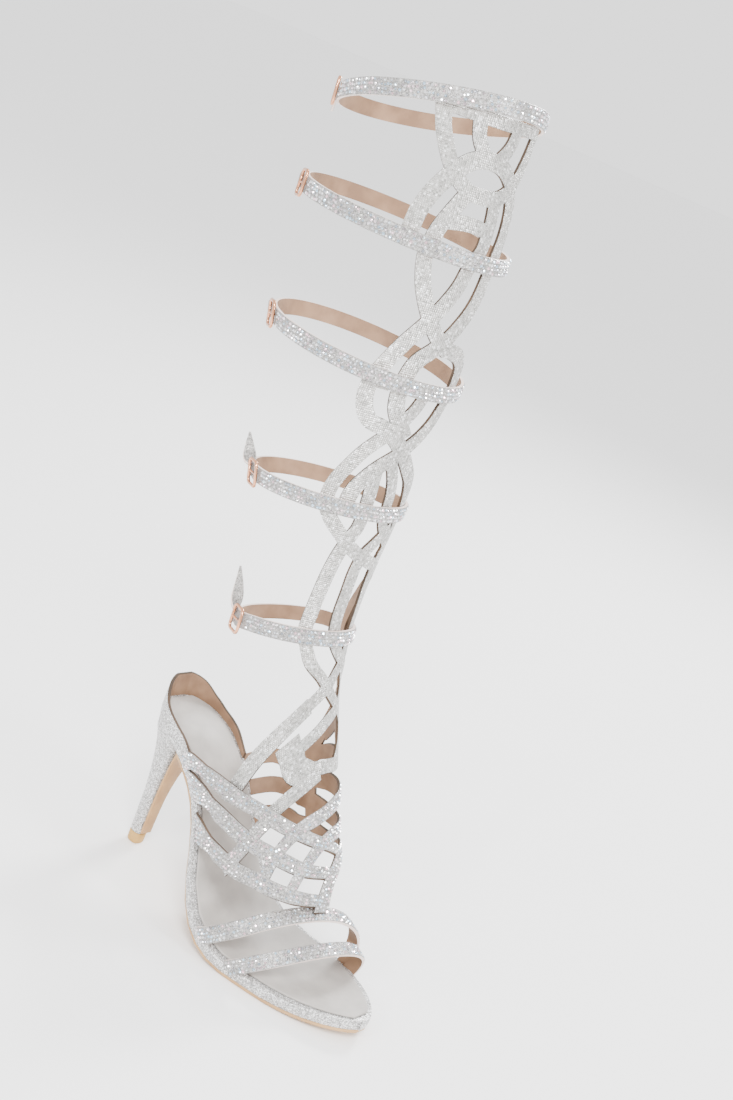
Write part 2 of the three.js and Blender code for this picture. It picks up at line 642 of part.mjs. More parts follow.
function toeStrap([lateralAlong, medialAlong, crownAlong, crownUp, crownAcross, width]) {
  const steps = 22;
  const reach = 1.8;
  const lean = 0.35;
  const sink = 0.75 * cageWall;
  const lateralOn = soleAt(lateralAlong);
  const medialOn = soleAt(medialAlong);
  const crownOn = soleAt(crownAlong);
  const crown = crownUp * ballWidth;
  const across = crownAcross * ballWidth;
  const middles = [];
  for (let i = 0; i <= steps; i += 1) {
    const angle = reach * (2 * i / steps - 1);
    const ends = lateralOn + ((medialOn - lateralOn) * i) / steps;
    const arch = Math.max(0, (Math.cos(angle) - Math.cos(reach)) / (1 - Math.cos(reach)));
    const forward = ends + (crownOn - (lateralOn + medialOn) / 2) * arch;
    const side = angle < 0 ? soleWidths(lateralOn).lateral : soleWidths(medialOn).medial;
    const out = (side - cageWall / 2) / Math.sin(reach);
    const ground = levelAt(forward, midsoleTop);
    const tall = crown - levelAt(crownOn, midsoleTop);
    middles.push({
      point: [across * arch + out * Math.sin(angle), -forward, ground + tall * arch - sink],
      normal: [Math.sin(angle), -lean * arch, Math.cos(angle)],
    });
  }
  const rings = middles.map(({ point, normal }, i) => {
    const before = new THREE.Vector3(...middles[Math.max(i - 1, 0)].point);
    const after = new THREE.Vector3(...middles[Math.min(i + 1, steps)].point);
    const forwardWay = after.sub(before).normalize();
    const out = new THREE.Vector3(...normal);
    out.addScaledVector(forwardWay, -out.dot(forwardWay)).normalize();
    const wide = new THREE.Vector3().crossVectors(forwardWay, out)
      .multiplyScalar((width * ballWidth) / 2);
    const thick = out.multiplyScalar(cageWall / 2);
    const centre = new THREE.Vector3(...point);
    return [[-1, -1], [1, -1], [1, 1], [-1, 1]].map(([a, b]) => (
      centre.clone().addScaledVector(wide, a).addScaledVector(thick, b).toArray()));
  });
  return solid(skin(rings, false));
}

function heelCounter() {
  const steps = 28;
  const forwardEnd = soleAt(counterForm.rows[counterForm.rows.length - 1][0]);
  const rings = [];
  for (let i = 0; i <= steps; i += 1) {
    const turn = (i / steps) * 2 - 1;
    const forward = soleBack + cageWall / 2
      + (forwardEnd - soleBack) * (1 - Math.cos((Math.PI / 2) * turn));
    const { lateral, medial } = soleWidths(forward);
    const edge = (turn < 0 ? lateral : medial) - cageWall / 2;
    rings.push({ x: Math.sign(turn) * Math.max(edge, 0), forward });
  }
  return solid(skin(rings.map(({ x, forward }, i) => {
    const before = rings[Math.max(i - 1, 0)];
    const after = rings[Math.min(i + 1, steps)];
    const long = Math.hypot(after.x - before.x, after.forward - before.forward);
    const nx = (after.forward - before.forward) / long;
    const nf = -(after.x - before.x) / long;
    const height = heelRise * read(counterForm, 'along', 'height', soleShare(forward));
    const ground = levelAt(forward, midsoleTop);
    const half = cageWall / 2;
    return [[-half, -half], [half, -half], [half, height], [-half, height]].map(([out, up]) => [
      x + nx * out, -(forward + nf * out), ground + up,
    ]);
  }), false));
}

function footUpper() {
  const flat = joined(cageStrands.rows.map(([width, flare, line]) => strand(width, flare, line)));
  const cage = bent(flat, outerFace, cageWall, patternEdge);
  const past = 0.35 * ballWidth;
  const ground = solid(soleLayer(soleBack - past, soleBack + soleLength + past, 30, -past,
    -2 * past, midsoleTop + 2 * clearance, [[0, 0], [0, 1]]));
  const seat = solid(soleLayer(insoleStart - clearance, insoleEnd + clearance, 26,
    insoleInset - clearance, midsoleTop, insoleLow + insoleThick + clearance, [[0, 1], [0, 0]]));
  return joined([
    bodyOf(cage.points, cage.triangles),
    heelCounter(),
    ...toeStraps.rows.map(toeStrap),
  ]).subtract(ground).subtract(seat);
}

function heelRing(level) {
  const count = 20;
  const half = ballWidth * read(heelForm, 'level', 'half', level);
  const back = ballWidth * read(heelForm, 'level', 'back', level);
  const front = ballWidth * read(heelForm, 'level', 'front', level);
  const ring = [];
  for (let i = 0; i < count; i += 1) {
    const angle = (2 * Math.PI * i) / count;
    const rise = Math.sin(angle);
    const forward = rise > 0 ? front * rise ** 0.55 : back * rise;
    const { lateral, medial } = soleWidths(forward);
    const x = Math.max(Math.min(half * Math.cos(angle), medial - seatInset), seatInset - lateral);
    const top = levelAt(forward, midsoleLow) - clearance;
    ring.push([x, -forward, heelTipHeight + clearance
      + (top - heelTipHeight - clearance) * level]);
  }
  return ring;
}

function heelBody() {
  const rings = [];
  const steps = 9;
  for (let i = 0; i <= steps; i += 1) rings.push(heelRing(i / steps));
  return skin(rings, false);
}

// Thin leather face on the front of the heel.
function heelBreast() {
  const rings = [];
  const steps = 9;
  const lowest = 0.02;
  const span = 0.93;
  const share = 0.86;
  const taper = 0.9;
  for (let i = 0; i <= steps; i += 1) {
    const level = lowest + (span * i) / steps;
    const front = ballWidth * read(heelForm, 'level', 'front', level);
    const half = ballWidth * read(heelForm, 'level', 'half', level) * share;
    const place = (x, out) => {
      const forward = front + 2 * clearance + out;
      const top = levelAt(forward, midsoleLow) - clearance;
      return [x, -forward, heelTipHeight + clearance + (top - heelTipHeight) * level];
    };
    rings.push([place(-half, 0), place(half, 0), place(half * taper, breastThick),
      place(-half * taper, breastThick)]);
  }
  return skin(rings, false);
}

function heelTip() {
  const count = 20;
  const ringAt = (height, half) => Array.from({ length: count }, (_, i) => {
    const angle = (2 * Math.PI * i) / count;
    const rise = Math.sin(angle);
    return [half * Math.cos(angle), -(rise > 0 ? half * rise ** 0.55 : half * rise), height];
  });
  return skin([ringAt(0, 0.92 * heelTipHalf), ringAt(0.13 * heelTipHeight, heelTipHalf),
    ringAt(heelTipHeight, 1.02 * heelTipHalf)], false);
}

const radians = (degrees) => (degrees * Math.PI) / 180;

function strapHeight(row, angle) {
  const height = ankleRise * row[column(calfStraps, 'height')];
  return height + ankleRise * row[column(calfStraps, 'frontRise')] * Math.cos(angle);
}

// Millimetres travelled round the leg for each radian.
function roundRadius(run, angle, out) {
  const step = 0.02;
  const a = legPoint(run, angle - step, out);
  const b = legPoint(run, angle + step, out);
  return Math.hypot(b[0] - a[0], b[1] - a[1], b[2] - a[2]) / (2 * step);
}

function calfStrap(row) {
  const count = 44;
  const inner = outerFace;
  const outer = inner + strapWall;
  const rings = [];
  for (let i = 0; i < count; i += 1) {
    const angle = (2 * Math.PI * i) / count - Math.PI + 1e-6;
    const middle = strapHeight(row, angle);
    rings.push([[-0.5, inner], [0.5, inner], [0.5, outer], [-0.5, outer]].map(([side, out]) => (
      legPoint(middle + side * strapWidth, angle, out))));
  }
  const parts = 6;
  const tailGap = 5 * clearance;
  const sunk = 0.4 * strapWall;
  const rise = 0.45 * strapWall;
  const bodyShare = 0.86;
  const tipShare = 0.55;
  const buckle = radians(row[column(calfStraps, 'buckleTurn')]);
  const root = buckle - (buckleLong / 2 + buckleBar + tailGap)
    / roundRadius(strapHeight(row, buckle), buckle, outer);
  const places = [];
  for (let i = 0; i <= parts; i += 1) {
    const share = i / parts;
    const angle = root + radians(row[column(calfStraps, 'run')]) * share;
    const middle = strapHeight(row, angle) + strapWidth * row[column(calfStraps, 'tailRise')]
      * share * share;
    const out = outer - sunk + strapWidth * row[column(calfStraps, 'tailOut')]
      * share ** 1.4 + rise * Math.min(1, share * parts);
    const at = (up, away) => new THREE.Vector3(...legPoint(middle + up, angle, out + away));
    const centre = at(0, 0);
    places.push({ centre, up: at(1, 0).sub(centre), away: at(0, 1).sub(centre), share });
  }
  const thin = 0.75 * strapWall;
  const tail = places.map(({ centre, up, away, share }, i) => {
    const before = places[Math.max(i - 1, 0)].centre;
    const way = places[Math.min(i + 1, parts)].centre.clone().sub(before).normalize();
    const twist = radians(row[column(calfStraps, 'tailTwist')]) * share;
    const wide = up.multiplyScalar(Math.cos(twist)).addScaledVector(away, Math.sin(twist));
    wide.addScaledVector(way, -wide.dot(way)).normalize();
    const thick = new THREE.Vector3().crossVectors(wide, way).normalize();
    const half = (strapWidth / 2) * (share > 0.9 ? tipShare : bodyShare);
    return [[-half, 0], [half, 0], [half, thin], [-half, thin]].map(([side, high]) => (
      centre.clone().addScaledVector(wide, side).addScaledVector(thick, high).toArray()));
  });
  return joined([solid(skin(rings, true)), solid(skin(tail, false))]);
}

// Bar of round section along a path.
function bar(path, radius, sides, up, closed) {
  const count = path.length;
  const rings = path.map((point, i) => {
    const before = path[closed ? (i + count - 1) % count : Math.max(i - 1, 0)];
    const after = path[closed ? (i + 1) % count : Math.min(i + 1, count - 1)];
    const way = after.clone().sub(before).normalize();
    const side = new THREE.Vector3().crossVectors(way, up).normalize();
    return Array.from({ length: sides }, (_, j) => {
      const angle = (2 * Math.PI * (j + 0.5)) / sides;
      return point.clone().addScaledVector(side, Math.cos(angle) * radius)
        .addScaledVector(up, Math.sin(angle) * radius).toArray();
    });
  });
  return solid(skin(rings, closed));
}

function strapBuckle(row) {
  const angle = radians(row[column(calfStraps, 'buckleTurn')]);
  const middle = strapHeight(row, angle);
  const seat = outerFace + strapWall + clearance + buckleBar;
  const centre = new THREE.Vector3(...legPoint(middle, angle, seat));
  const round = new THREE.Vector3(...legPoint(middle, angle + 0.05, seat)).sub(centre).normalize();
  const up = new THREE.Vector3(...legPoint(middle + 3, angle, seat)).sub(centre).normalize();
  const out = new THREE.Vector3().crossVectors(round, up).normalize();
  if (out.dot(new THREE.Vector3(centre.x, centre.y, 0)) < 0) out.negate();
  const at = (a, b) => centre.clone().addScaledVector(round, a).addScaledVector(up, b);
  const corner = 0.18 * buckleLong;
  const path = [];
  for (const [sx, sy, start] of [[1, 1, 0], [-1, 1, 90], [-1, -1, 180], [1, -1, 270]]) {
    for (let k = 0; k <= 2; k += 1) {
      const turn = radians(start + 45 * k);
      path.push(at(sx * (buckleLong / 2 - corner) + corner * Math.cos(turn),
        sy * (buckleWide / 2 - corner) + corner * Math.sin(turn)));
    }
  }
  const prong = [at(-buckleLong / 2, 0), at(0, 0), at(buckleLong / 2, 0)];
  return joined([bar(path, buckleBar, 8, out, true), bar(prong, prongBar, 6, out, false)]);
}

// Assembly
const sandal = new THREE.Group();
sandal.name = 'gladiator_sandal';
const finish = (color, roughness, metalness) => (
  new THREE.MeshStandardMaterial({ color, roughness, metalness }));
const tanLeather = finish(0xc9a37c, 0.6, 0);
const glitterWrap = finish(0xd8d6d2, 0.4, 0.5);
const greySock = finish(0xcfc9c4, 0.6, 0);
const tipRubber = finish(0xcda66a, 0.7, 0);
const silverWeave = finish(0xd6d4cf, 0.45, 0.4);
const stoneFabric = finish(0xe4dcd8, 0.3, 0.3);
const roseGold = finish(0xdfa888, 0.25, 1);
const add = (name, shape, material) => sandal.add(meshOf(name, outward(shape), material));

const breastLine = ballWidth * heelForm.rows[heelForm.rows.length - 1][column(heelForm, 'front')];
add('outsole', soleLayer(breastLine + outsoleThick, soleTip - outsoleInset, 26, outsoleInset, 0,
  outsoleThick, [[0, 1], [0.5, 0]]), tanLeather);
add('midsole', soleLayer(soleBack, soleTip, 34, 0, midsoleLow, midsoleTop,
  [[edgeRound, 1], [0, 0.7], [0, 0.3], [edgeRound, 0]]), glitterWrap);
add('insole', soleLayer(insoleStart, insoleEnd, 26, insoleInset, insoleLow,
  insoleLow + insoleThick, [[0.5 * edgeRound, 1], [0, 0]]), greySock);
add('heel', heelBody(), glitterWrap);
add('heel_breast', heelBreast(), tanLeather);
add('heel_tip', heelTip(), tipRubber);
add('upper', listsOf(footUpper()), stoneFabric);
add('shaft', shaftPanel(), silverWeave);
calfStraps.rows.forEach((row, i) => {
  add(`strap_${i + 1}`, listsOf(calfStrap(row)), stoneFabric);
  add(`buckle_${i + 1}`, listsOf(strapBuckle(row)), roseGold);
});

export default sandal;
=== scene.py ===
import math
import random

import bmesh
import bpy
from mathutils import Matrix, Vector


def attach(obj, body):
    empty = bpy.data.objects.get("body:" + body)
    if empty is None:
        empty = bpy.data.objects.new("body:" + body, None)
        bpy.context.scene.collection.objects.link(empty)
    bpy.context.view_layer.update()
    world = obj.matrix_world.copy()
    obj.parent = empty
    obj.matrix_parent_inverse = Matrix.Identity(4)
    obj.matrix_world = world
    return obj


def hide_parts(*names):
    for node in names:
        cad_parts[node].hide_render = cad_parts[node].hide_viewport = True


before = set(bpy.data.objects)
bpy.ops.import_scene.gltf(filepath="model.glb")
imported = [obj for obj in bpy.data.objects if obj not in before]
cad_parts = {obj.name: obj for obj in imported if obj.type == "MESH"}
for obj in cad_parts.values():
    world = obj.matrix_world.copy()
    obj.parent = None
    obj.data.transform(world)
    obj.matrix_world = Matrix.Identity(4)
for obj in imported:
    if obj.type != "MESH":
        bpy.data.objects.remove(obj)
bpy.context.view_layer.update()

mm = 0.001
chance = random.Random(11)
print("frame loaded:", len(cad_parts), "nodes")

# Driving sizes in millimetres. Tables hold shares of these.
heelRise = 96
soleLength = 219
ballWidth = 80
soleBack = -12
heelRound = 23
toeRound = 60
ankleRise = 200
shaftLean = -0.125
ankleForward = 47
ankleInward = 2
gridSquare = 10
flareRun = 6
gap = 0.3
panelWall = 1.8
cageWall = 2
strapWall = 2
strapWidth = 9.5
boardTop = 8.8  # top of the wrapped board above the underside
outerFace = panelWall + gap
strapOuter = outerFace + strapWall
buckleReach = 9  # from a buckle's middle to the root of its strap's loose end

# Sole, from its back: rise in shares of heelRise, centre and half width of ballWidth.
soleForm = {
    "columns": ["along", "rise", "centre", "half"],
    "rows": [
        (0.000, 1.000, 0.000, 0.294),
        (0.100, 0.943, 0.000, 0.305),
        (0.155, 0.896, 0.000, 0.318),
        (0.215, 0.807, 0.000, 0.311),
        (0.260, 0.714, -0.003, 0.304),
        (0.310, 0.573, -0.017, 0.312),
        (0.365, 0.411, -0.050, 0.350),
        (0.410, 0.286, -0.080, 0.392),
        (0.457, 0.182, -0.092, 0.432),
        (0.502, 0.104, -0.089, 0.462),
        (0.548, 0.048, -0.066, 0.484),
        (0.603, 0.012, -0.030, 0.503),
        (0.640, 0.000, -0.004, 0.503),
        (0.740, 0.000, 0.042, 0.478),
        (0.813, 0.008, 0.059, 0.451),
        (0.886, 0.027, 0.062, 0.420),
        (0.945, 0.050, 0.054, 0.386),
        (1.000, 0.070, 0.050, 0.325),
    ],
}
# Foot, from the toes up: base and ridge of each ring in the side view, then its half widths.
footForm = {
    "columns": ["baseOn", "baseUp", "ridgeOn", "ridgeUp", "lateral", "medial",
                "lateralFoot", "medialFoot", "shift", "lift"],
    "rows": [
        (0.800, 0.049, 0.815, 0.180, 0.155, 0.215, 0.140, 0.182, 0.030, 0.045),
        (0.700, 0.048, 0.750, 0.235, 0.195, 0.215, 0.171, 0.188, 0.025, 0.060),
        (0.610, 0.054, 0.703, 0.335, 0.210, 0.205, 0.186, 0.173, 0.020, 0.075),
        (0.520, 0.083, 0.668, 0.415, 0.205, 0.195, 0.187, 0.140, 0.015, 0.090),
        (0.440, 0.133, 0.630, 0.500, 0.195, 0.190, 0.170, 0.115, 0.012, 0.105),
        (0.370, 0.208, 0.590, 0.590, 0.180, 0.185, 0.145, 0.102, 0.010, 0.120),
        (0.300, 0.305, 0.545, 0.690, 0.170, 0.180, 0.115, 0.098, 0.010, 0.135),
        (0.225, 0.385, 0.500, 0.785, 0.170, 0.180, 0.103, 0.100, 0.010, 0.135),
        (0.160, 0.440, 0.463, 0.880, 0.168, 0.175, 0.105, 0.105, 0.010, 0.130),
    ],
}
# Leg: rings square to the leaning axis, their height counted from the ankle ring.
legForm = {
    "columns": ["height", "across", "deep", "back"],
    "rows": [
        (-0.070, 0.160, 0.195, 0.125),
        (0.000, 0.155, 0.188, 0.128),
        (0.200, 0.170, 0.203, 0.172),
        (0.390, 0.195, 0.228, 0.228),
        (0.585, 0.225, 0.255, 0.255),
        (0.780, 0.253, 0.280, 0.280),
        (0.975, 0.270, 0.298, 0.298),
        (1.140, 0.275, 0.303, 0.303),
        (1.310, 0.270, 0.298, 0.285),
        (1.475, 0.263, 0.290, 0.258),
        (1.600, 0.263, 0.290, 0.255),
    ],
}
formRule = {"leastLift": 0.5, "mostFlat": 0.9999}


# Form
def read(table, keyName, valueName, at):
    k, v = table["columns"].index(keyName), table["columns"].index(valueName)
    rows, last = table["rows"], len(table["rows"]) - 1
    t = min(max(at, rows[0][k]), rows[last][k])
    i = 0
    while i < last - 1 and t > rows[i + 1][k]:
        i += 1

    def slope(j):
        return (rows[j + 1][v] - rows[j][v]) / (rows[j + 1][k] - rows[j][k])

    def tangent(j):
        if j == 0:
            return slope(0)
        if j == last:
            return slope(last - 1)
        a, b = slope(j - 1), slope(j)
        return 0 if a * b <= 0 else 2 * a * b / (a + b)

    span = rows[i + 1][k] - rows[i][k]
    u = (t - rows[i][k]) / span
    return ((2 * u**3 - 3 * u * u + 1) * rows[i][v] + (u**3 - 2 * u * u + u) * span * tangent(i)
            + (3 * u * u - 2 * u**3) * rows[i + 1][v] + (u**3 - u * u) * span * tangent(i + 1))


def underside(forward):
    return heelRise * read(soleForm, "along", "rise", (forward - soleBack) / soleLength)


def roundedEnd(distance, radius):
    if distance >= radius:
        return 1
    rest = 1 - max(distance, 0) / radius
    return math.sqrt(max(0, 1 - rest * rest))


def soleWidths(forward):
    share = (forward - soleBack) / soleLength
    half = (ballWidth * read(soleForm, "along", "half", share)
            * roundedEnd(forward - soleBack, heelRound)
            * roundedEnd(soleLength - (forward - soleBack), toeRound))
    centre = ballWidth * read(soleForm, "along", "centre", share)
    return half - centre, half + centre


def levelAt(forward, above):
    slope = underside(forward + 0.5) - underside(forward - 0.5)
    return underside(forward) + above * math.sqrt(1 + slope * slope)


leanLength = math.hypot(1, shaftLean)


def formRibs():
    ribs = []
    for row in footForm["rows"]:
        size = [ankleRise * value for value in row]
        ribs.append({"base": size[0:2], "ridge": size[2:4], "sizes": size[4:10] + [0]})
    for row in legForm["rows"]:
        height, across, deep, back = [ankleRise * value for value in row]
        base = [ankleForward + shaftLean * height / leanLength, ankleRise + height / leanLength]
        ridge = [base[0] + deep / leanLength, base[1] - shaftLean * deep / leanLength]
        ribs.append({"base": base, "ridge": ridge,
                     "sizes": [across, across, across, across, ankleInward, 0, back]})
    run = [0]
    for a, b in zip(ribs, ribs[1:]):
        run.append(run[-1] + math.dist(a["ridge"], b["ridge"]))
    # The second row of the leg is the ankle ring, where runs are counted from.
    ankleRun = run[len(footForm["rows"]) + 1]
    return {
        "columns": ["run", "baseOn", "baseUp", "ridgeOn", "ridgeUp", "lateral", "medial",
                    "lateralFoot", "medialFoot", "shift", "lift", "back"],
        "rows": [(at - ankleRun, *rib["base"], *rib["ridge"], *rib["sizes"])
                 for at, rib in zip(run, ribs)],
    }


ribForm = formRibs()
ribCache = {}


def ribAt(run):
    key = round(run * 1000)
    if key not in ribCache:
        rib = {name: read(ribForm, "run", name, run) for name in ribForm["columns"][1:]}
        rib["tall"] = math.hypot(rib["ridgeOn"] - rib["baseOn"], rib["ridgeUp"] - rib["baseUp"])
        rib["radius"] = (rib["tall"] - rib["lift"] + (rib["lateral"] + rib["medial"]) / 2) / 2
        ribCache[key] = rib
    return ribCache[key]


# Place on the form of a flat pattern point: across the front, up from the ankle, outside.
def formPlace(across, up, out):
    rib = ribAt(up)
    angle = across / rib["radius"]
    side = "lateral" if angle < 0 else "medial"
    wide = rib[side]
    ratio = min(rib[side + "Foot"] / wide, formRule["mostFlat"])
    below = rib["back"]
    if rib["lift"] > formRule["leastLift"]:
        below = min(rib["lift"] / math.sqrt(1 - ratio * ratio), rib["tall"])
    cosine = math.cos(angle)
    reach = rib["lift"] + (rib["tall"] - rib["lift"] + out if cosine > 0 else below + out) * cosine
    share = reach / rib["tall"]
    return Vector((rib["shift"] + (wide + out) * math.sin(angle),
                   -(rib["baseOn"] + (rib["ridgeOn"] - rib["baseOn"]) * share),
                   rib["baseUp"] + (rib["ridgeUp"] - rib["baseUp"]) * share))


def legPlace(height, angle, out):
    share = height / ankleRise
    across = ankleRise * read(legForm, "height", "across", share)
    cosine = math.cos(angle)
    deep = ankleRise * read(legForm, "height", "deep" if cosine > 0 else "back", share)
    reach = (deep + out) * cosine
    return Vector((ankleInward + (across + out) * math.sin(angle),
                   -(ankleForward + (shaftLean * height + reach) / leanLength),
                   ankleRise + (height - shaftLean * reach) / leanLength))


# Materials
def newMaterial(name, base, roughness, metallic=0.0, **sockets):
    material = bpy.data.materials.new(name)
    material.use_nodes = True
    shader = material.node_tree.nodes["Principled BSDF"]
    shader.inputs["Base Color"].default_value = (*base, 1)
    shader.inputs["Roughness"].default_value = roughness
    shader.inputs["Metallic"].default_value = metallic
    for label, value in sockets.items():
        shader.inputs[label.replace("_", " ")].default_value = value
    return material


def addNode(material, kind, **settings):
    node = material.node_tree.nodes.new(kind)
    for name, value in settings.items():
        if name in node.inputs:
            node.inputs[name].default_value = value
        else:
            setattr(node, name, value)
    return node


def join(material, source, sourceSocket, target, targetSocket):
    material.node_tree.links.new(source.outputs[sourceSocket], target.inputs[targetSocket])


def ramp(material, stops):
    node = addNode(material, "ShaderNodeValToRGB")
    colours = node.color_ramp.elements
    colours[0].position, colours[0].color = stops[0][0], (*stops[0][1], 1)
    colours[1].position, colours[1].color = stops[-1][0], (*stops[-1][1], 1)
    for position, colour in stops[1:-1]:
        colours.new(position).color = (*colour, 1)
    return node


def spread(material, low, high):
    node = addNode(material, "ShaderNodeMapRange")
    node.inputs["To Min"].default_value = low
    node.inputs["To Max"].default_value = high
    return node


finishRule = {"cellBump": 0.9, "grainBump": 0.4, "grainDetail": 4.0, "cloudSize": 14,
              "cloudDetail": 3.0}


# Cells of small beads or glitter: tone, roughness and bump change from cell to cell.
def cellFinish(material, cellSize, tones, rough, height, randomness, useSheet, dome):
    shader = material.node_tree.nodes["Principled BSDF"]
    place = addNode(material, "ShaderNodeTexCoord")
    cells = addNode(material, "ShaderNodeTexVoronoi", Scale=1 / (cellSize * mm),
                    Randomness=randomness)
    if useSheet:
        cells.voronoi_dimensions = "2D"
    join(material, place, "UV" if useSheet else "Object", cells, "Vector")
    split = addNode(material, "ShaderNodeSeparateColor")
    join(material, cells, "Color", split, "Color")
    tone = ramp(material, tones)
    join(material, split, "Red", tone, "Fac")
    join(material, tone, "Color", shader, "Base Color")
    gloss = spread(material, *rough)
    join(material, split, "Green", gloss, "Value")
    join(material, gloss, "Result", shader, "Roughness")
    bump = addNode(material, "ShaderNodeBump", Strength=finishRule["cellBump"],
                   Distance=height * mm)
    lift = addNode(material, "ShaderNodeMath", operation="MULTIPLY_ADD")
    lift.inputs[1].default_value = -dome
    join(material, cells, "Distance", lift, 0)
    join(material, split, "Blue", lift, 2)
    join(material, lift, "Value", bump, "Height")
    join(material, bump, "Normal", shader, "Normal")
    return material


def grainFinish(material, size, height, tones):
    shader = material.node_tree.nodes["Principled BSDF"]
    place = addNode(material, "ShaderNodeTexCoord")
    grain = addNode(material, "ShaderNodeTexNoise", Scale=1 / (size * mm),
                    Detail=finishRule["grainDetail"])
    join(material, place, "Object", grain, "Vector")
    bump = addNode(material, "ShaderNodeBump", Strength=finishRule["grainBump"],
                   Distance=height * mm)
    join(material, grain, "Fac", bump, "Height")
    join(material, bump, "Normal", shader, "Normal")
    cloud = addNode(material, "ShaderNodeTexNoise", Scale=1 / (finishRule["cloudSize"] * mm),
                    Detail=finishRule["cloudDetail"])
    join(material, place, "Object", cloud, "Vector")
    tone = ramp(material, tones)
    join(material, cloud, "Fac", tone, "Fac")
    join(material, tone, "Color", shader, "Base Color")
    return material


beadWeave = cellFinish(
    newMaterial("bead_weave", (0.44, 0.43, 0.41), 0.34, 0.5, Sheen_Weight=0.1), 1.2,
    [(0.0, (0.27, 0.265, 0.25)), (0.3, (0.40, 0.392, 0.372)), (0.85, (0.50, 0.49, 0.47)),
     (1.0, (0.84, 0.84, 0.84))], (0.2, 0.42), 0.34, 0.12, True, 2.4)
glitterWrap = cellFinish(
    newMaterial("glitter_wrap", (0.44, 0.43, 0.42), 0.36, 0.45), 0.6,
    [(0.0, (0.20, 0.196, 0.19)), (0.5, (0.40, 0.39, 0.38)), (1.0, (0.90, 0.90, 0.90))],
    (0.16, 0.55), 0.14, 1.0, False, 0.6)
strapBase = cellFinish(
    newMaterial("strap_base", (0.32, 0.31, 0.30), 0.4, 0.4), 0.6,
    [(0.0, (0.14, 0.136, 0.13)), (1.0, (0.46, 0.445, 0.43))], (0.25, 0.6), 0.12, 1.0, False, 0.6)
creamEdge = grainFinish(
    newMaterial("cream_edge", (0.76, 0.62, 0.56), 0.55, 0.0, Sheen_Weight=0.2), 0.4, 0.05,
    [(0.35, (0.66, 0.52, 0.46)), (0.65, (0.78, 0.65, 0.59))])
cutEdge = grainFinish(
    newMaterial("cut_edge", (0.05, 0.028, 0.014), 0.75), 0.5, 0.08,
    [(0.35, (0.035, 0.02, 0.01)), (0.65, (0.075, 0.042, 0.022))])
tanLining = grainFinish(
    newMaterial("tan_lining", (0.26, 0.145, 0.08), 0.6), 0.6, 0.06,
    [(0.35, (0.20, 0.11, 0.06)), (0.65, (0.30, 0.175, 0.10))])
tanLeather = grainFinish(
    newMaterial("tan_leather", (0.46, 0.26, 0.11), 0.5), 0.7, 0.06,
    [(0.3, (0.38, 0.21, 0.085)), (0.7, (0.50, 0.30, 0.13))])
greySock = grainFinish(
    newMaterial("grey_sock", (0.36, 0.335, 0.31), 0.5, 0.0, Sheen_Weight=0.1), 0.8, 0.05,
    [(0.3, (0.31, 0.288, 0.265)), (0.7, (0.40, 0.372, 0.345))])
tipRubber = grainFinish(
    newMaterial("tip_rubber", (0.52, 0.30, 0.08), 0.6), 0.5, 0.05,
    [(0.3, (0.44, 0.25, 0.065)), (0.7, (0.55, 0.33, 0.10))])
roseGold = grainFinish(
    newMaterial("rose_gold", (0.70, 0.34, 0.19), 0.2, 1.0), 2.0, 0.01,
    [(0.3, (0.66, 0.31, 0.17)), (0.7, (0.76, 0.39, 0.24))])


def stoneMaterial():
    material = newMaterial("stone", (0.9, 0.9, 0.92), 0.08, 0.85, IOR=1.6, Coat_Weight=1.0,
                           Coat_Roughness=0.03)
    shader = material.node_tree.nodes["Principled BSDF"]
    island = addNode(material, "ShaderNodeNewGeometry")
    tint = ramp(material, [(0.0, (0.97, 0.96, 0.95)), (0.22, (0.42, 0.43, 0.47)),
                           (0.38, (0.90, 0.91, 0.95)), (0.52, (0.88, 0.60, 0.66)),
                           (0.62, (0.30, 0.30, 0.32)), (0.76, (0.52, 0.72, 0.88)),
                           (0.88, (0.95, 0.94, 0.88)), (1.0, (0.24, 0.24, 0.26))])
    join(material, island, "Random Per Island", tint, "Fac")
    join(material, tint, "Color", shader, "Base Color")
    return material


stoneGlass = stoneMaterial()
print("materials made")


# Mesh making
def newStore():
    return {"points": [], "faces": [], "slots": [], "sheet": []}


# Joins a row of equal rings into a skin. Each ring point is (place, sheet place); columns
# holds the material slot of the face that starts at each ring point.
def addSkin(store, rings, columns, closed, endSlot=0):
    first = len(store["points"])
    count = len(columns)
    for ring in rings:
        for place, sheet in ring:
            store["points"].append(place * mm)
            store["sheet"].append(sheet)
    turns = len(rings) if closed else len(rings) - 1
    for i in range(turns):
        a, b = first + i * count, first + ((i + 1) % len(rings)) * count
        for j in range(count):
            k = (j + 1) % count
            store["faces"].append((a + j, a + k, b + k, b + j))
            store["slots"].append(columns[j])
    if not closed:
        end = first + (len(rings) - 1) * count
        store["faces"].append(tuple(range(first, first + count)))
        store["faces"].append(tuple(range(end + count - 1, end - 1, -1)))
        store["slots"] += [endSlot, endSlot]


def meshPiece(name, store, materials, sharp=35, turn=True):
    mesh = bpy.data.meshes.new(name)
    mesh.from_pydata(store["points"], [], store["faces"])
    for material in materials:
        mesh.materials.append(material)
    mesh.polygons.foreach_set("material_index", store["slots"])
    if store["sheet"]:
        layer = mesh.uv_layers.new(name="sheet")
        for loop in mesh.loops:
            layer.data[loop.index].uv = store["sheet"][loop.vertex_index]
    if turn:
        work = bmesh.new()
        work.from_mesh(mesh)
        bmesh.ops.recalc_face_normals(work, faces=work.faces)
        work.to_mesh(mesh)
        work.free()
    if sharp:
        mesh.polygons.foreach_set("use_smooth", [True] * len(mesh.polygons))
        mesh.set_sharp_from_angle(angle=math.radians(sharp))
    piece = bpy.data.objects.new(name, mesh)
    bpy.context.scene.collection.objects.link(piece)
    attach(piece, "root")
    return piece


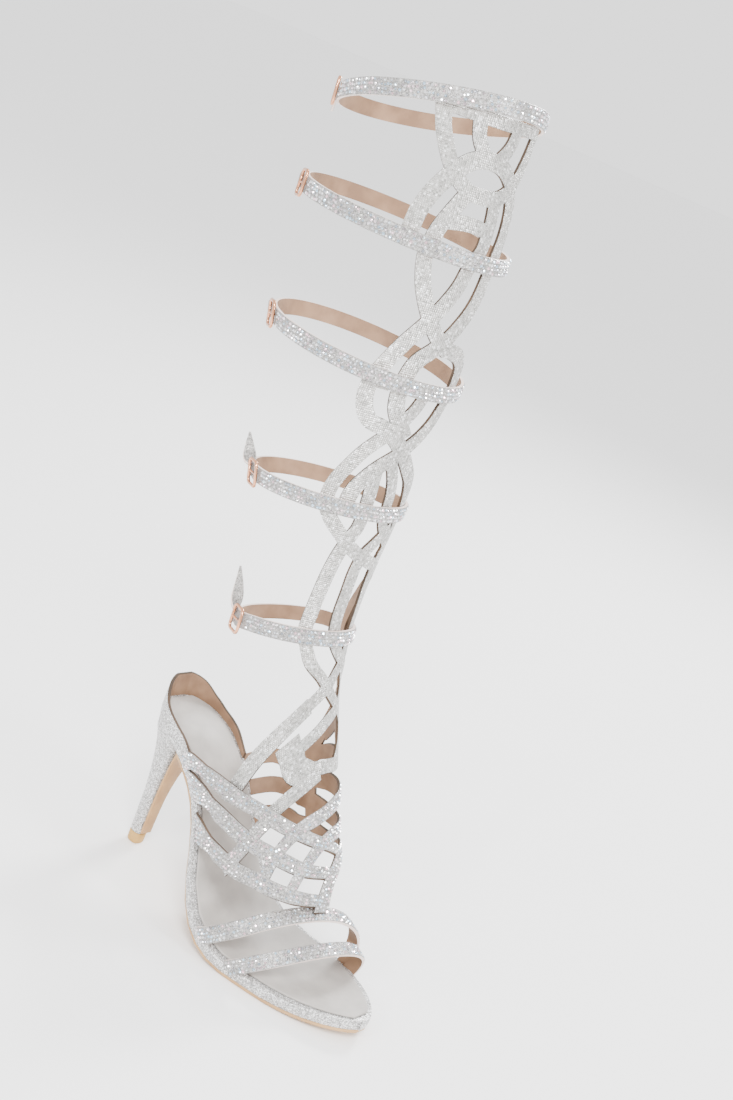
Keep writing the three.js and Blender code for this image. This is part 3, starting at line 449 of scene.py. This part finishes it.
lining, wallSide, faceSide, paleSide = 0, 1, 2, 3


# Cross section of a flat strip: underside, walls, eased edges and face.
def stripProfile(width, wall, ease, parts):
    half = width / 2
    points, slots = [], []
    for i in range(parts + 1):
        points.append((-half + width * i / parts, 0))
        slots.append(lining if i < parts else wallSide)
    points.append((half, wall - ease))
    slots.append(faceSide)
    for i in range(parts + 1):
        points.append((half - ease - (width - 2 * ease) * i / parts, wall))
        slots.append(faceSide)
    points.append((-half, wall - ease))
    slots.append(wallSide)
    return points, slots


def smoothLine(control, step):
    points, last = [], len(control) - 1
    for i in range(last):
        p0, p1 = control[max(i - 1, 0)], control[i]
        p2, p3 = control[i + 1], control[min(i + 2, last)]
        count = max(1, round(math.dist(p1, p2) / step))
        for j in range(count):
            t = j / count
            points.append(tuple(
                0.5 * (2 * p1[c] + (p2[c] - p0[c]) * t
                       + (2 * p0[c] - 5 * p1[c] + 4 * p2[c] - p3[c]) * t * t
                       + (3 * p1[c] - p0[c] - 3 * p2[c] + p3[c]) * t**3) for c in (0, 1)))
    return points + [tuple(control[last])]


def alongLine(points):
    run = [0]
    for a, b in zip(points, points[1:]):
        run.append(run[-1] + math.dist(a, b))
    return run


# The part of a line that holds a place along it, and how far on in that part it lies.
def partAt(run, along):
    i = 0
    while i < len(run) - 2 and along > run[i + 1]:
        i += 1
    return i, (along - run[i]) / (run[i + 1] - run[i])


def sidesOf(line):
    sides = []
    for i in range(len(line)):
        a, b = line[max(i - 1, 0)], line[min(i + 1, len(line) - 1)]
        long = math.dist(a, b)
        sides.append((-(b[1] - a[1]) / long, (b[0] - a[0]) / long))
    return sides


def fadedWidth(width, flare, run):
    return gridSquare * (width + flare * max(0, 1 - run / (flareRun * gridSquare)))


strandRule = {"step": 2.4, "parts": 4}


# One strip of the flat pattern, laid over the form.
def addStrand(store, width, flare, line, inner, wall, ease):
    middle = smoothLine([(x * gridSquare, y * gridSquare) for x, y in line], strandRule["step"])
    rings = []
    for (x, y), (sx, sy), run in zip(middle, sidesOf(middle), alongLine(middle)):
        ring = []
        wide = fadedWidth(width, flare, run)
        profile, slots = stripProfile(wide, wall, ease, strandRule["parts"])
        for side, out in profile:
            across, up = x + sx * side, y + sy * side
            ring.append((formPlace(across, up, inner + out), (across * mm, up * mm)))
        rings.append(ring)
    addSkin(store, rings, slots, False, wallSide)
    return middle


# Stones
stoneRule = {
    "across": 2.15, "sizes": (1.0, 0.94, 0.86, 0.72), "sides": 8, "table": 0.5, "foot": -0.15,
    "high": 0.55, "lean": 0.3, "pitch": 2.1, "border": 1.45, "past": 0.2, "ends": 0.6,
    "stray": 0.5, "sideStray": 0.7, "least": 1.6, "apart": 0.9, "cell": 3, "step": 0.6,
}


def addStone(store, place, normal, radius):
    normal = normal.normalized()
    side = normal.orthogonal().normalized()
    other = normal.cross(side)
    turn = chance.uniform(0, math.pi)
    tilt = side * chance.uniform(-1, 1) + other * chance.uniform(-1, 1)
    first = len(store["points"])
    count = stoneRule["sides"]
    for share, rise in ((1.0, stoneRule["foot"]), (stoneRule["table"], stoneRule["high"])):
        for i in range(count):
            angle = turn + 2 * math.pi * i / count
            flat = (side * math.cos(angle) + other * math.sin(angle)) * radius * share
            sway = tilt.dot(flat) * stoneRule["lean"] if rise > 0 else 0
            store["points"].append((place + flat + normal * (rise + sway)) * mm)
    for i in range(count):
        k = (i + 1) % count
        store["faces"].append((first + i, first + k, first + count + k, first + count + i))
    store["faces"].append(tuple(range(first + count, first + 2 * count)))
    store["slots"] += [0] * (count + 1)


def countStones(store):
    return len(store["points"]) // (2 * stoneRule["sides"])


# Rows of stones on a strip. A place comes from place(along, side, out), and keep() thins them.
def addStones(store, length, width, place, keep):
    pitch, stray, step = stoneRule["pitch"], stoneRule["stray"], stoneRule["step"]
    along = pitch / 2
    while along < length - pitch / 2:
        usable = width(along) - 2 * stoneRule["border"]
        rows = max(2, round(usable / pitch) + 1)
        edge = usable / 2 + stoneRule["past"]
        for row in range(rows):
            sway = chance.uniform(-stray, stray) * stoneRule["sideStray"]
            side = max(-edge, min(edge, -usable / 2 + usable * row / (rows - 1) + sway))
            on = along + (row % 2) * pitch / 2 + chance.uniform(-stray, stray)
            if not stoneRule["ends"] < on < length - stoneRule["ends"]:
                continue
            radius = stoneRule["across"] / 2 * chance.choice(stoneRule["sizes"])
            spot = place(on, side, 0)
            if not keep(spot, 2 * radius):
                continue
            ahead = place(min(on + step, length), side, 0) - spot
            beside = place(on, side + step, 0) - spot
            out = place(on, side, step) - spot
            normal = ahead.cross(beside)
            if normal.dot(out) < 0:
                normal.negate()
            addStone(store, spot, normal, radius)
        along += pitch


def apartKeeper():
    taken = {}

    def keep(spot, across):
        least = max(stoneRule["least"], across * stoneRule["apart"])
        cell = tuple(int(math.floor(v / stoneRule["cell"])) for v in spot)
        for dx in (-1, 0, 1):
            for dy in (-1, 0, 1):
                for dz in (-1, 0, 1):
                    near = taken.get((cell[0] + dx, cell[1] + dy, cell[2] + dz), ())
                    if any((other - spot).length < least for other in near):
                        return False
        taken.setdefault(cell, []).append(spot)
        return True
    return keep


def stonesOnStrand(store, width, flare, middle, top, keep):
    run = alongLine(middle)
    sides = sidesOf(middle)

    def place(along, side, out):
        i, t = partAt(run, along)
        x, y = (middle[i][c] * (1 - t) + middle[i + 1][c] * t for c in (0, 1))
        sx, sy = (sides[i][c] * (1 - t) + sides[i + 1][c] * t for c in (0, 1))
        return formPlace(x + sx * side, y + sy * side, top + out)

    addStones(store, run[-1], lambda at: fadedWidth(width, flare, at), place, keep)


# Pierced panel
# Width, then the middle line, both in grid squares.
panelStrands = [
    (0.85, [(-5.1, 30.4), (-4.65, 28.9), (-3.85, 27.4), (-2.8, 26.5), (-1.7, 26.35), (-0.6, 26.5),
           (0.45, 27.4), (1.25, 28.9), (1.7, 30.4)]),
    (0.95, [(-5.25, 23.2), (-5.0, 24.8), (-4.45, 26.1), (-3.6, 27.3), (-2.7, 28.05),
           (-1.7, 28.25), (-0.7, 28.05), (0.2, 27.3), (0.75, 26.1), (0.85, 24.8), (0.6, 23.4),
           (0.4, 22.6), (0.2, 21.4), (-0.1, 20.4), (-0.6, 19.4), (-1.1, 18.6), (-1.75, 17.85),
           (-2.5, 17.0), (-2.75, 16.0), (-2.75, 15.0), (-2.5, 14.1), (-1.9, 13.3),
           (-1.3, 12.6)]),
    (0.80, [(-3.05, 30.4), (-2.75, 29.2), (-2.1, 28.3)]),
    (0.80, [(-0.35, 30.4), (-0.65, 29.2), (-1.3, 28.3)]),
    (0.70, [(-5.4, 30.4), (-1.7, 30.3), (2.0, 30.4)]),
    (0.86, [(-2.75, 26.2), (-3.25, 25.3), (-3.68, 24.4), (-3.93, 23.6), (-4.05, 22.6),
           (-3.75, 21.3), (-3.2, 20.2), (-2.55, 19.3), (-1.7, 18.45), (-0.8, 17.9)]),
    (0.90, [(-0.75, 26.2), (-0.65, 25.3), (-0.7, 24.4), (-0.8, 23.6), (-1.3, 22.6), (-1.6, 21.5),
           (-2.1, 20.4), (-2.75, 19.2), (-3.55, 17.85), (-4.15, 16.5), (-4.47, 15.5),
           (-4.45, 14.5), (-4.1, 13.6), (-3.55, 13.1), (-2.8, 12.95), (-1.8, 12.4),
           (-0.9, 11.65), (-0.1, 10.85), (0.65, 10.1), (1.15, 9.2), (1.4, 8.4), (1.45, 7.4),
           (1.5, 6.3), (1.25, 5.3), (1.0, 4.3), (1.05, 3.0), (1.2, 1.8), (1.25, 0.5),
           (1.25, -0.5), (1.05, -1.4), (0.6, -2.2), (-0.1, -2.95), (-1.1, -3.55),
           (-2.3, -4.15)]),
    (0.80, [(-3.4, 24.65), (-2.1, 24.8), (-0.7, 24.65)]),
    (0.90, [(-1.4, 18.1), (-0.4, 17.95), (0.4, 17.7), (0.9, 17.15), (1.05, 16.4), (1.0, 15.5),
           (0.75, 14.6), (0.4, 13.7), (-0.1, 12.9), (-0.7, 12.2), (-1.4, 11.4), (-2.15, 10.6),
           (-2.7, 9.7), (-3.0, 8.8), (-3.0, 7.7)]),
    (0.70, [(-4.6, 15.4), (-2.8, 15.4), (-1.0, 15.4), (1.1, 15.4)]),
    (0.80, [(-0.9, 15.6), (-1.1, 15.2), (-1.35, 14.4), (-1.75, 13.6), (-2.25, 12.8),
           (-2.8, 12.1), (-3.3, 11.35), (-3.7, 10.45), (-4.05, 9.45), (-4.15, 8.55),
           (-4.0, 7.8), (-3.55, 7.1), (-2.8, 6.4), (-1.85, 5.65), (-0.85, 5.1), (0.3, 4.7),
           (1.3, 4.35), (2.2, 3.8), (2.8, 2.9), (3.2, 1.8), (3.5, 0.5), (3.7, -0.8),
           (3.3, -1.8), (2.6, -2.8), (1.8, -4.0), (0.8, -4.75), (-0.2, -5.3), (-1.2, -5.85),
           (-2.2, -6.3), (-3.0, -6.7)]),
    (0.80, [(-2.15, 10.3), (-2.0, 9.4), (-1.88, 8.5), (-1.8, 7.6), (-1.8, 6.8), (-2.05, 6.0),
           (-2.25, 5.0), (-2.35, 3.8), (-2.4, 2.5), (-2.45, 1.0), (-2.45, 0.0), (-2.2, -0.9),
           (-1.7, -1.9), (-1.0, -2.85), (0.0, -3.7), (1.2, -4.4), (2.4, -4.85), (3.7, -5.1),
           (5.0, -5.2)]),
    (0.70, [(-1.4, 11.0), (-0.9, 10.1), (-0.55, 9.2), (-0.4, 8.3), (-0.3, 7.6), (0.1, 6.95),
           (0.7, 6.35), (1.4, 5.8)]),
    (0.80, [(0.9, 7.0), (0.4, 6.6), (-0.15, 5.95), (-0.65, 5.2), (-0.8, 4.2), (-0.75, 2.8),
           (-0.75, 1.4), (-0.65, 0.5), (-0.35, -0.4), (0.3, -1.2), (1.1, -1.85), (2.0, -2.6),
           (3.0, -3.4)]),
    (1.30, [(2.2, -3.0), (3.3, -3.85), (4.6, -4.5), (5.8, -5.1), (6.7, -5.9), (7.3, -6.8)]),
    (1.15, [(-2.1, -4.1), (-3.3, -4.75), (-4.3, -5.3), (-5.3, -5.9), (-6.2, -6.6),
            (-7.0, -7.4)]),
    (0.85, [(-2.8, -7.4), (-1.4, -7.95), (0.0, -8.0), (1.5, -7.85), (3.0, -7.1), (4.5, -6.4),
           (5.8, -6.0), (6.8, -6.0)]),
    (1.00, [(-0.8, -8.3), (-2.0, -8.75), (-3.2, -9.15), (-4.3, -9.55)]),
    (1.60, [(-3.4, -5.8), (-3.05, -6.7), (-2.7, -7.6), (-1.8, -8.2)]),
    (0.90, [(2.8, -5.0), (2.6, -6.0), (1.9, -7.0), (1.2, -7.9)]),
]
panelRule = {"ease": 0.2, "layer": 0.012}

panelStore = newStore()
for number, (width, line) in enumerate(panelStrands):
    addStrand(panelStore, width, 0, line, 0, panelWall + number * panelRule["layer"],
              panelRule["ease"])
panel = meshPiece("pierced_panel", panelStore, [tanLining, cutEdge, beadWeave])
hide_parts("shaft")
print("panel made:", len(panelStrands), "strands")

# Foot cage, toe straps and heel counter
# Width, what it gains at the lateral end, then the middle line, in grid squares.
cageStrands = [
    (0.70, 0.9, [(-13.4, -3.75), (-12.4, -3.7), (-11.4, -3.65), (-10.6, -3.85), (-10.0, -4.1),
                 (-9.0, -4.75), (-8.0, -5.6), (-7.0, -6.7), (-6.0, -7.85), (-5.0, -8.9), (-4.0, -10.0),
                 (-3.0, -10.95), (-2.0, -11.75), (-1.0, -12.4), (0.0, -12.8), (1.0, -13.1),
                 (2.0, -13.3), (2.8, -13.3)]),
    (0.72, 1.5, [(-13.4, -4.9), (-12.0, -5.1), (-11.0, -5.4), (-10.0, -5.85), (-9.0, -6.35),
                 (-8.0, -7.15), (-7.0, -8.4), (-6.0, -9.75), (-5.0, -10.95), (-4.0, -11.95),
                 (-3.0, -12.87), (-2.0, -13.7), (-1.0, -14.27), (0.0, -14.6), (1.0, -14.8)]),
    (0.68, 1.2, [(-13.2, -7.25), (-11.8, -7.45), (-10.8, -7.7), (-9.8, -8.1), (-9.0, -8.6),
                 (-8.0, -9.35), (-7.0, -10.6), (-6.0, -11.8), (-5.0, -12.75), (-4.0, -13.75),
                 (-3.0, -14.63), (-2.0, -15.4), (-1.0, -15.95), (0.0, -16.35)]),
    (1.05, 0, [(-7.0, -11.05), (-6.37, -10.87), (-5.67, -10.58), (-5.12, -10.2),
               (-4.4, -9.85)]),
    (0.95, 0, [(-4.7, -13.5), (-4.28, -13.05), (-3.93, -12.52), (-3.43, -12.0),
               (-2.83, -11.62), (-2.0, -11.3), (-1.2, -11.15), (-0.36, -10.95), (1.0, -10.45),
               (2.4, -9.8), (3.8, -8.9), (5.0, -8.1), (6.4, -7.2), (7.8, -6.0), (9.2, -5.0),
               (10.6, -4.4), (12.8, -4.1), (15.0, -4.0)]),
    (0.90, 0, [(-2.7, -15.0), (-2.35, -14.66), (-1.95, -14.14), (-1.38, -13.6),
               (-0.84, -13.1), (-0.1, -12.65), (0.8, -12.3), (1.8, -12.0), (2.9, -11.5),
               (4.0, -10.85), (5.0, -10.1), (6.0, -9.2), (7.5, -7.8), (9.0, -6.8),
               (10.5, -6.2), (12.4, -5.9), (14.5, -5.8)]),
    (1.00, 0, [(-0.2, -17.0), (0.15, -15.95), (0.6, -15.1), (1.3, -14.33), (2.0, -13.6),
               (2.9, -13.0), (4.0, -12.45), (5.0, -11.8), (6.0, -11.05), (7.5, -9.6),
               (9.0, -8.5), (10.5, -7.9), (12.1, -7.6), (14.2, -7.5)]),
    (0.80, 0, [(6.7, -7.0), (6.85, -8.6), (7.0, -10.2)]),
]
toeStraps = {
    "columns": ["lateralAlong", "medialAlong", "crownAlong", "crownUp", "crownAcross", "width"],
    "rows": [
        (0.540, 0.775, 0.737, 0.640, 0.040, 0.125),
        (0.655, 0.800, 0.808, 0.455, 0.050, 0.115),
    ],
}
cageRule = {"ease": 0.35, "layer": 0.015, "archSteps": 60, "archParts": 2, "archReach": 1.8,
            "archLean": 0.35, "sink": 1.5}


# Middle line, width direction and outward direction of a toe strap's arch.
def toeFrames(row):
    lateralAlong, medialAlong, crownAlong, crownUp, crownAcross, _ = row
    steps, reach = cageRule["archSteps"], cageRule["archReach"]
    lateralOn, medialOn, crownOn = (soleBack + share * soleLength
                                    for share in (lateralAlong, medialAlong, crownAlong))
    tall = crownUp * ballWidth - levelAt(crownOn, boardTop)
    middles, normals = [], []
    for i in range(steps + 1):
        angle = reach * (2 * i / steps - 1)
        ends = lateralOn + (medialOn - lateralOn) * i / steps
        arch = max(0, (math.cos(angle) - math.cos(reach)) / (1 - math.cos(reach)))
        forward = ends + (crownOn - (lateralOn + medialOn) / 2) * arch
        side = soleWidths(lateralOn)[0] if angle < 0 else soleWidths(medialOn)[1]
        out = (side - cageWall / 2) / math.sin(reach)
        middles.append(Vector((crownAcross * ballWidth * arch + out * math.sin(angle), -forward,
                               levelAt(forward, boardTop) + tall * arch - cageRule["sink"])))
        normals.append(Vector((math.sin(angle), -cageRule["archLean"] * arch, math.cos(angle))))
    frames = []
    for i, middle in enumerate(middles):
        way = (middles[min(i + 1, steps)] - middles[max(i - 1, 0)]).normalized()
        out = (normals[i] - way * normals[i].dot(way)).normalized()
        frames.append((middle, way.cross(out), out))
    return frames


def alongFrames(frames, wall):
    run = alongLine([tuple(f[0]) for f in frames])

    def place(along, side, out):
        i, t = partAt(run, along)
        middle, wide, away = (frames[i][c].lerp(frames[i + 1][c], t) for c in range(3))
        return middle + wide * side + away * (wall / 2 + out)
    return run[-1], place


cageStore, cageStones = newStore(), newStore()
cageKeep = apartKeeper()
for number, (width, flare, line) in enumerate(cageStrands):
    wall = cageWall + number * cageRule["layer"]
    middle = addStrand(cageStore, width, flare, line, outerFace, wall, cageRule["ease"])
    stonesOnStrand(cageStones, width, flare, middle, outerFace + wall, cageKeep)
for row in toeStraps["rows"]:
    width = row[5] * ballWidth
    profile, slots = stripProfile(width, cageWall, cageRule["ease"], cageRule["archParts"])
    frames = toeFrames(row)
    slots = [paleSide if slot == wallSide else slot for slot in slots]
    addSkin(cageStore, [[(middle + wide * side + away * (out - cageWall / 2), (0, 0))
                         for side, out in profile] for middle, wide, away in frames],
            slots, False, paleSide)
    length, place = alongFrames(frames, cageWall)
    addStones(cageStones, length, lambda at, fixed=width: fixed, place, cageKeep)
cage = meshPiece("foot_cage", cageStore, [tanLining, cutEdge, strapBase, creamEdge])
meshPiece("cage_stones", cageStones, [stoneGlass], sharp=0, turn=False)
print("cage made:", countStones(cageStones), "stones")

# Height of the counter's edge in shares of heelRise, along the sole from its back.
counterForm = {
    "columns": ["along", "height"],
    "rows": [(0.000, 0.170), (0.030, 0.140), (0.070, 0.085), (0.120, 0.062), (0.170, 0.060),
             (0.230, 0.040)],
}
counterRule = {"steps": 90, "ease": 0.35, "tuck": 1.0, "levels": 5}


def makeCounter():
    steps = counterRule["steps"]
    reach = counterForm["rows"][-1][0] * soleLength
    line = []
    for i in range(steps + 1):
        turn = 2 * i / steps - 1
        forward = soleBack + cageWall / 2 + reach * (1 - math.cos(math.pi / 2 * turn))
        lateral, medial = soleWidths(forward)
        edge = (lateral if turn < 0 else medial) - cageWall / 2
        line.append((math.copysign(max(edge, 0), turn), forward))
    rings = []
    for i, (x, forward) in enumerate(line):
        a, b = line[max(i - 1, 0)], line[min(i + 1, steps)]
        long = math.dist(a, b)
        away = Vector(((b[1] - a[1]) / long, (b[0] - a[0]) / long, 0))
        height = heelRise * read(counterForm, "along", "height", (forward - soleBack) / soleLength)
        foot = Vector((x, -forward, levelAt(forward, boardTop)))
        half, ease, low = cageWall / 2, counterRule["ease"], -counterRule["tuck"]
        rises = [low + (height - ease - low) * k / counterRule["levels"]
                 for k in range(counterRule["levels"] + 1)]
        points = [(-half, rise) for rise in rises] + [(-half + ease, height), (half - ease, height)]
        points += [(half, rise) for rise in reversed(rises)]
        rings.append([(foot + away * out + Vector((0, 0, rise)), (0, 0)) for out, rise in points])
    levels = counterRule["levels"]
    slots = [lining] * levels + [wallSide] * 3 + [faceSide] * levels + [lining]
    store = newStore()
    addSkin(store, rings, slots, False, wallSide)
    return meshPiece("heel_counter", store, [tanLining, cutEdge, glitterWrap])


counter = makeCounter()
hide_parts("upper")
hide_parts("upper")
print("counter made")

# Calf straps
calfStraps = {
    "columns": ["height", "frontRise", "buckleTurn", "run", "tailRise", "tailOut", "tailTwist"],
    "rows": [
        (1.508, 0.046, -138, -13, -0.9, 0.35, 0),
        (1.183, -0.042, -131, -12, 0.2, 0.3, 0),
        (0.810, -0.042, -131, -12, 0.2, 0.3, 0),
        (0.385, 0.007, -124, -9, 2.1, 0.35, 75),
        (-0.036, 0.028, -114, -16, 3.0, 0.4, 45),
    ],
}
strapRule = {
    "steps": 120, "parts": 2, "ease": 0.35, "bare": 9.5, "nudge": 0.02, "tailSteps": 16,
    "tailWall": 1.5, "tailEase": 0.25, "tailSunk": 0.8, "tailLift": 0.9, "liftParts": 6,
    "tailCurl": 1.4, "tailShare": 0.86, "tipShare": 0.15, "taperFrom": 0.6, "point": 0.65,
}


def strapHeight(row, angle):
    height, frontRise = row[:2]
    return ankleRise * (height + frontRise * math.cos(angle))


# Length on a strap's outer face for each radian of turn.
def roundRadius(row, angle):
    middle, nudge = strapHeight(row, angle), strapRule["nudge"]
    ahead = legPlace(middle, angle + nudge, strapOuter)
    behind = legPlace(middle, angle - nudge, strapOuter)
    return (ahead - behind).length / (2 * nudge)


def addBand(store, row):
    steps = strapRule["steps"]
    profile, slots = stripProfile(strapWidth, strapWall, strapRule["ease"], strapRule["parts"])
    rings = []
    for i in range(steps):
        angle = 2 * math.pi * i / steps - math.pi
        middle = strapHeight(row, angle)
        rings.append([(legPlace(middle + side, angle, outerFace + out), (0, 0))
                      for side, out in profile])
    addSkin(store, rings, slots, True)


# Middle of a strap's loose end, with its upward and outward directions, from root to tip.
def tailSpots(row):
    buckleTurn, run, tailRise, tailOut = row[2:6]
    buckle = math.radians(buckleTurn)
    root = buckle - buckleReach / roundRadius(row, buckle)
    spots = []
    for i in range(strapRule["tailSteps"] + 1):
        share = i / strapRule["tailSteps"]
        angle = root + math.radians(run) * share
        middle = strapHeight(row, angle) + strapWidth * tailRise * share * share
        curl = strapWidth * tailOut * share**strapRule["tailCurl"]
        lift = strapRule["tailLift"] * min(1, strapRule["liftParts"] * share)
        out = strapOuter - strapRule["tailSunk"] + curl + lift
        spot = legPlace(middle, angle, out)
        spots.append((spot, legPlace(middle + 1, angle, out) - spot,
                      legPlace(middle, angle, out + 1) - spot, share))
    return spots


def addTail(store, row):
    tailTwist = row[6]
    spots, last = tailSpots(row), strapRule["tailSteps"]
    rings, slots = [], []
    for i, (spot, up, away, share) in enumerate(spots):
        way = (spots[min(i + 1, last)][0] - spots[max(i - 1, 0)][0]).normalized()
        twist = math.radians(tailTwist) * share
        wide = up * math.cos(twist) + away * math.sin(twist)
        wide = (wide - way * wide.dot(way)).normalized()
        thick = wide.cross(way)
        tip = max(0, (share - strapRule["taperFrom"]) / (1 - strapRule["taperFrom"]))
        width = (strapWidth * strapRule["tailShare"]
                 * max(strapRule["tipShare"], (1 - tip)**strapRule["point"]))
        profile, slots = stripProfile(width, strapRule["tailWall"], strapRule["tailEase"],
                                      strapRule["parts"])
        rings.append([(spot + wide * side + thick * high, (0, 0)) for side, high in profile])
    faced = [faceSide if slot == lining else slot for slot in slots]
    addSkin(store, rings, faced, False, wallSide)


# Stones all round a strap, apart from a bare piece at its buckle.
def addStrapStones(store, row):
    steps, buckle = strapRule["steps"], math.radians(row[2])
    bare = strapRule["bare"] / roundRadius(row, buckle)
    angles = [buckle + bare + (2 * math.pi - 2 * bare) * i / steps for i in range(steps + 1)]
    spots = [legPlace(strapHeight(row, angle), angle, strapOuter) for angle in angles]
    run = [0]
    for before, spot in zip(spots, spots[1:]):
        run.append(run[-1] + (spot - before).length)

    def place(along, side, out):
        i, t = partAt(run, along)
        angle = angles[i] * (1 - t) + angles[i + 1] * t
        return legPlace(strapHeight(row, angle) + side, angle, strapOuter + out)

    addStones(store, run[-1], lambda at: strapWidth, place, apartKeeper())


def makeStrap(number, row):
    store, stones = newStore(), newStore()
    addBand(store, row)
    addTail(store, row)
    addStrapStones(stones, row)
    strap = meshPiece(f"calf_strap_{number}", store, [tanLining, creamEdge, strapBase])
    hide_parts(f"strap_{number}")
    meshPiece(f"strap_stones_{number}", stones, [stoneGlass], sharp=0, turn=False)
    return countStones(stones)


stoneCount = sum(makeStrap(number + 1, row) for number, row in enumerate(calfStraps["rows"]))
print("straps made:", stoneCount, "stones")

# Carried-over pieces
carried = {
    "outsole": (tanLeather, 0.4), "midsole": (glitterWrap, 0.5), "insole": (greySock, 0.5),
    "heel": (glitterWrap, 0.5), "heel_breast": (tanLeather, 0.3), "heel_tip": (tipRubber, 0.4),
    "buckle_1": (roseGold, 0), "buckle_2": (roseGold, 0), "buckle_3": (roseGold, 0),
    "buckle_4": (roseGold, 0), "buckle_5": (roseGold, 0),
}
carriedRule = {"weld": 0.01, "segments": 2, "sharp": 32}
for name, (material, ease) in carried.items():
    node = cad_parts[name]
    node.data.materials.clear()
    node.data.materials.append(material)
    node.data.polygons.foreach_set("material_index", [0] * len(node.data.polygons))
    node.data.polygons.foreach_set("use_smooth", [True] * len(node.data.polygons))
    weld = node.modifiers.new("weld", "WELD")
    weld.merge_threshold = carriedRule["weld"] * mm
    if ease:
        bevel = node.modifiers.new("ease", "BEVEL")
        bevel.width = ease * mm
        bevel.segments = carriedRule["segments"]
        bevel.limit_method = "ANGLE"
        bevel.angle_limit = math.radians(carriedRule["sharp"])
        bevel.harden_normals = True
print("carried pieces finished")

# Stage, light and camera, in metres
studio = {"floor": 40, "level": -0.0002, "sky": 1.9, "aim": Vector((0, -0.06, 0.26))}
floorMaterial = newMaterial("pale_floor", (0.95, 0.95, 0.95), 0.8)
bpy.ops.mesh.primitive_plane_add(size=studio["floor"], location=(0, 0, studio["level"]))
floor = bpy.context.object
floor.name = "floor"
floor.data.materials.append(floorMaterial)

world = bpy.data.worlds.new("studio")
bpy.context.scene.world = world
world.use_nodes = True
world.node_tree.nodes["Background"].inputs["Color"].default_value = (1, 1, 1, 1)
world.node_tree.nodes["Background"].inputs["Strength"].default_value = studio["sky"]

softLights = [
    {"name": "key", "place": (-1.1, -0.9, 1.6), "size": 0.7, "power": 60},
    {"name": "front", "place": (0.2, -1.9, 0.9), "size": 0.35, "power": 22},
    {"name": "edge", "place": (1.3, 0.2, 1.2), "size": 0.4, "power": 30},
    {"name": "spark", "place": (-1.7, -0.2, 1.0), "size": 0.12, "power": 12},
]
for rule in softLights:
    data = bpy.data.lights.new(rule["name"], "AREA")
    data.energy, data.size = rule["power"], rule["size"]
    lamp = bpy.data.objects.new(rule["name"], data)
    bpy.context.scene.collection.objects.link(lamp)
    lamp.location = rule["place"]
    aimed = studio["aim"] - lamp.location
    lamp.rotation_euler = aimed.to_track_quat("-Z", "Y").to_euler()

view = {
    "place": Vector((-0.6993, -0.5601, 0.5261)),
    "right": Vector((0.617, -0.6952, 0.3687)),
    "up": Vector((0.0102, 0.4755, 0.8796)),
    "lens": 50.46,
}
cameraData = bpy.data.cameras.new("camera")
cameraData.lens = view["lens"]
cameraData.sensor_width = 36
camera = bpy.data.objects.new("camera", cameraData)
bpy.context.scene.collection.objects.link(camera)
back = view["right"].cross(view["up"]).normalized()
right = view["right"].normalized()
camera.matrix_world = (Matrix.Translation(view["place"])
                       @ Matrix((right, back.cross(right), back)).transposed().to_4x4())
bpy.context.scene.camera = camera

print("scene ready")
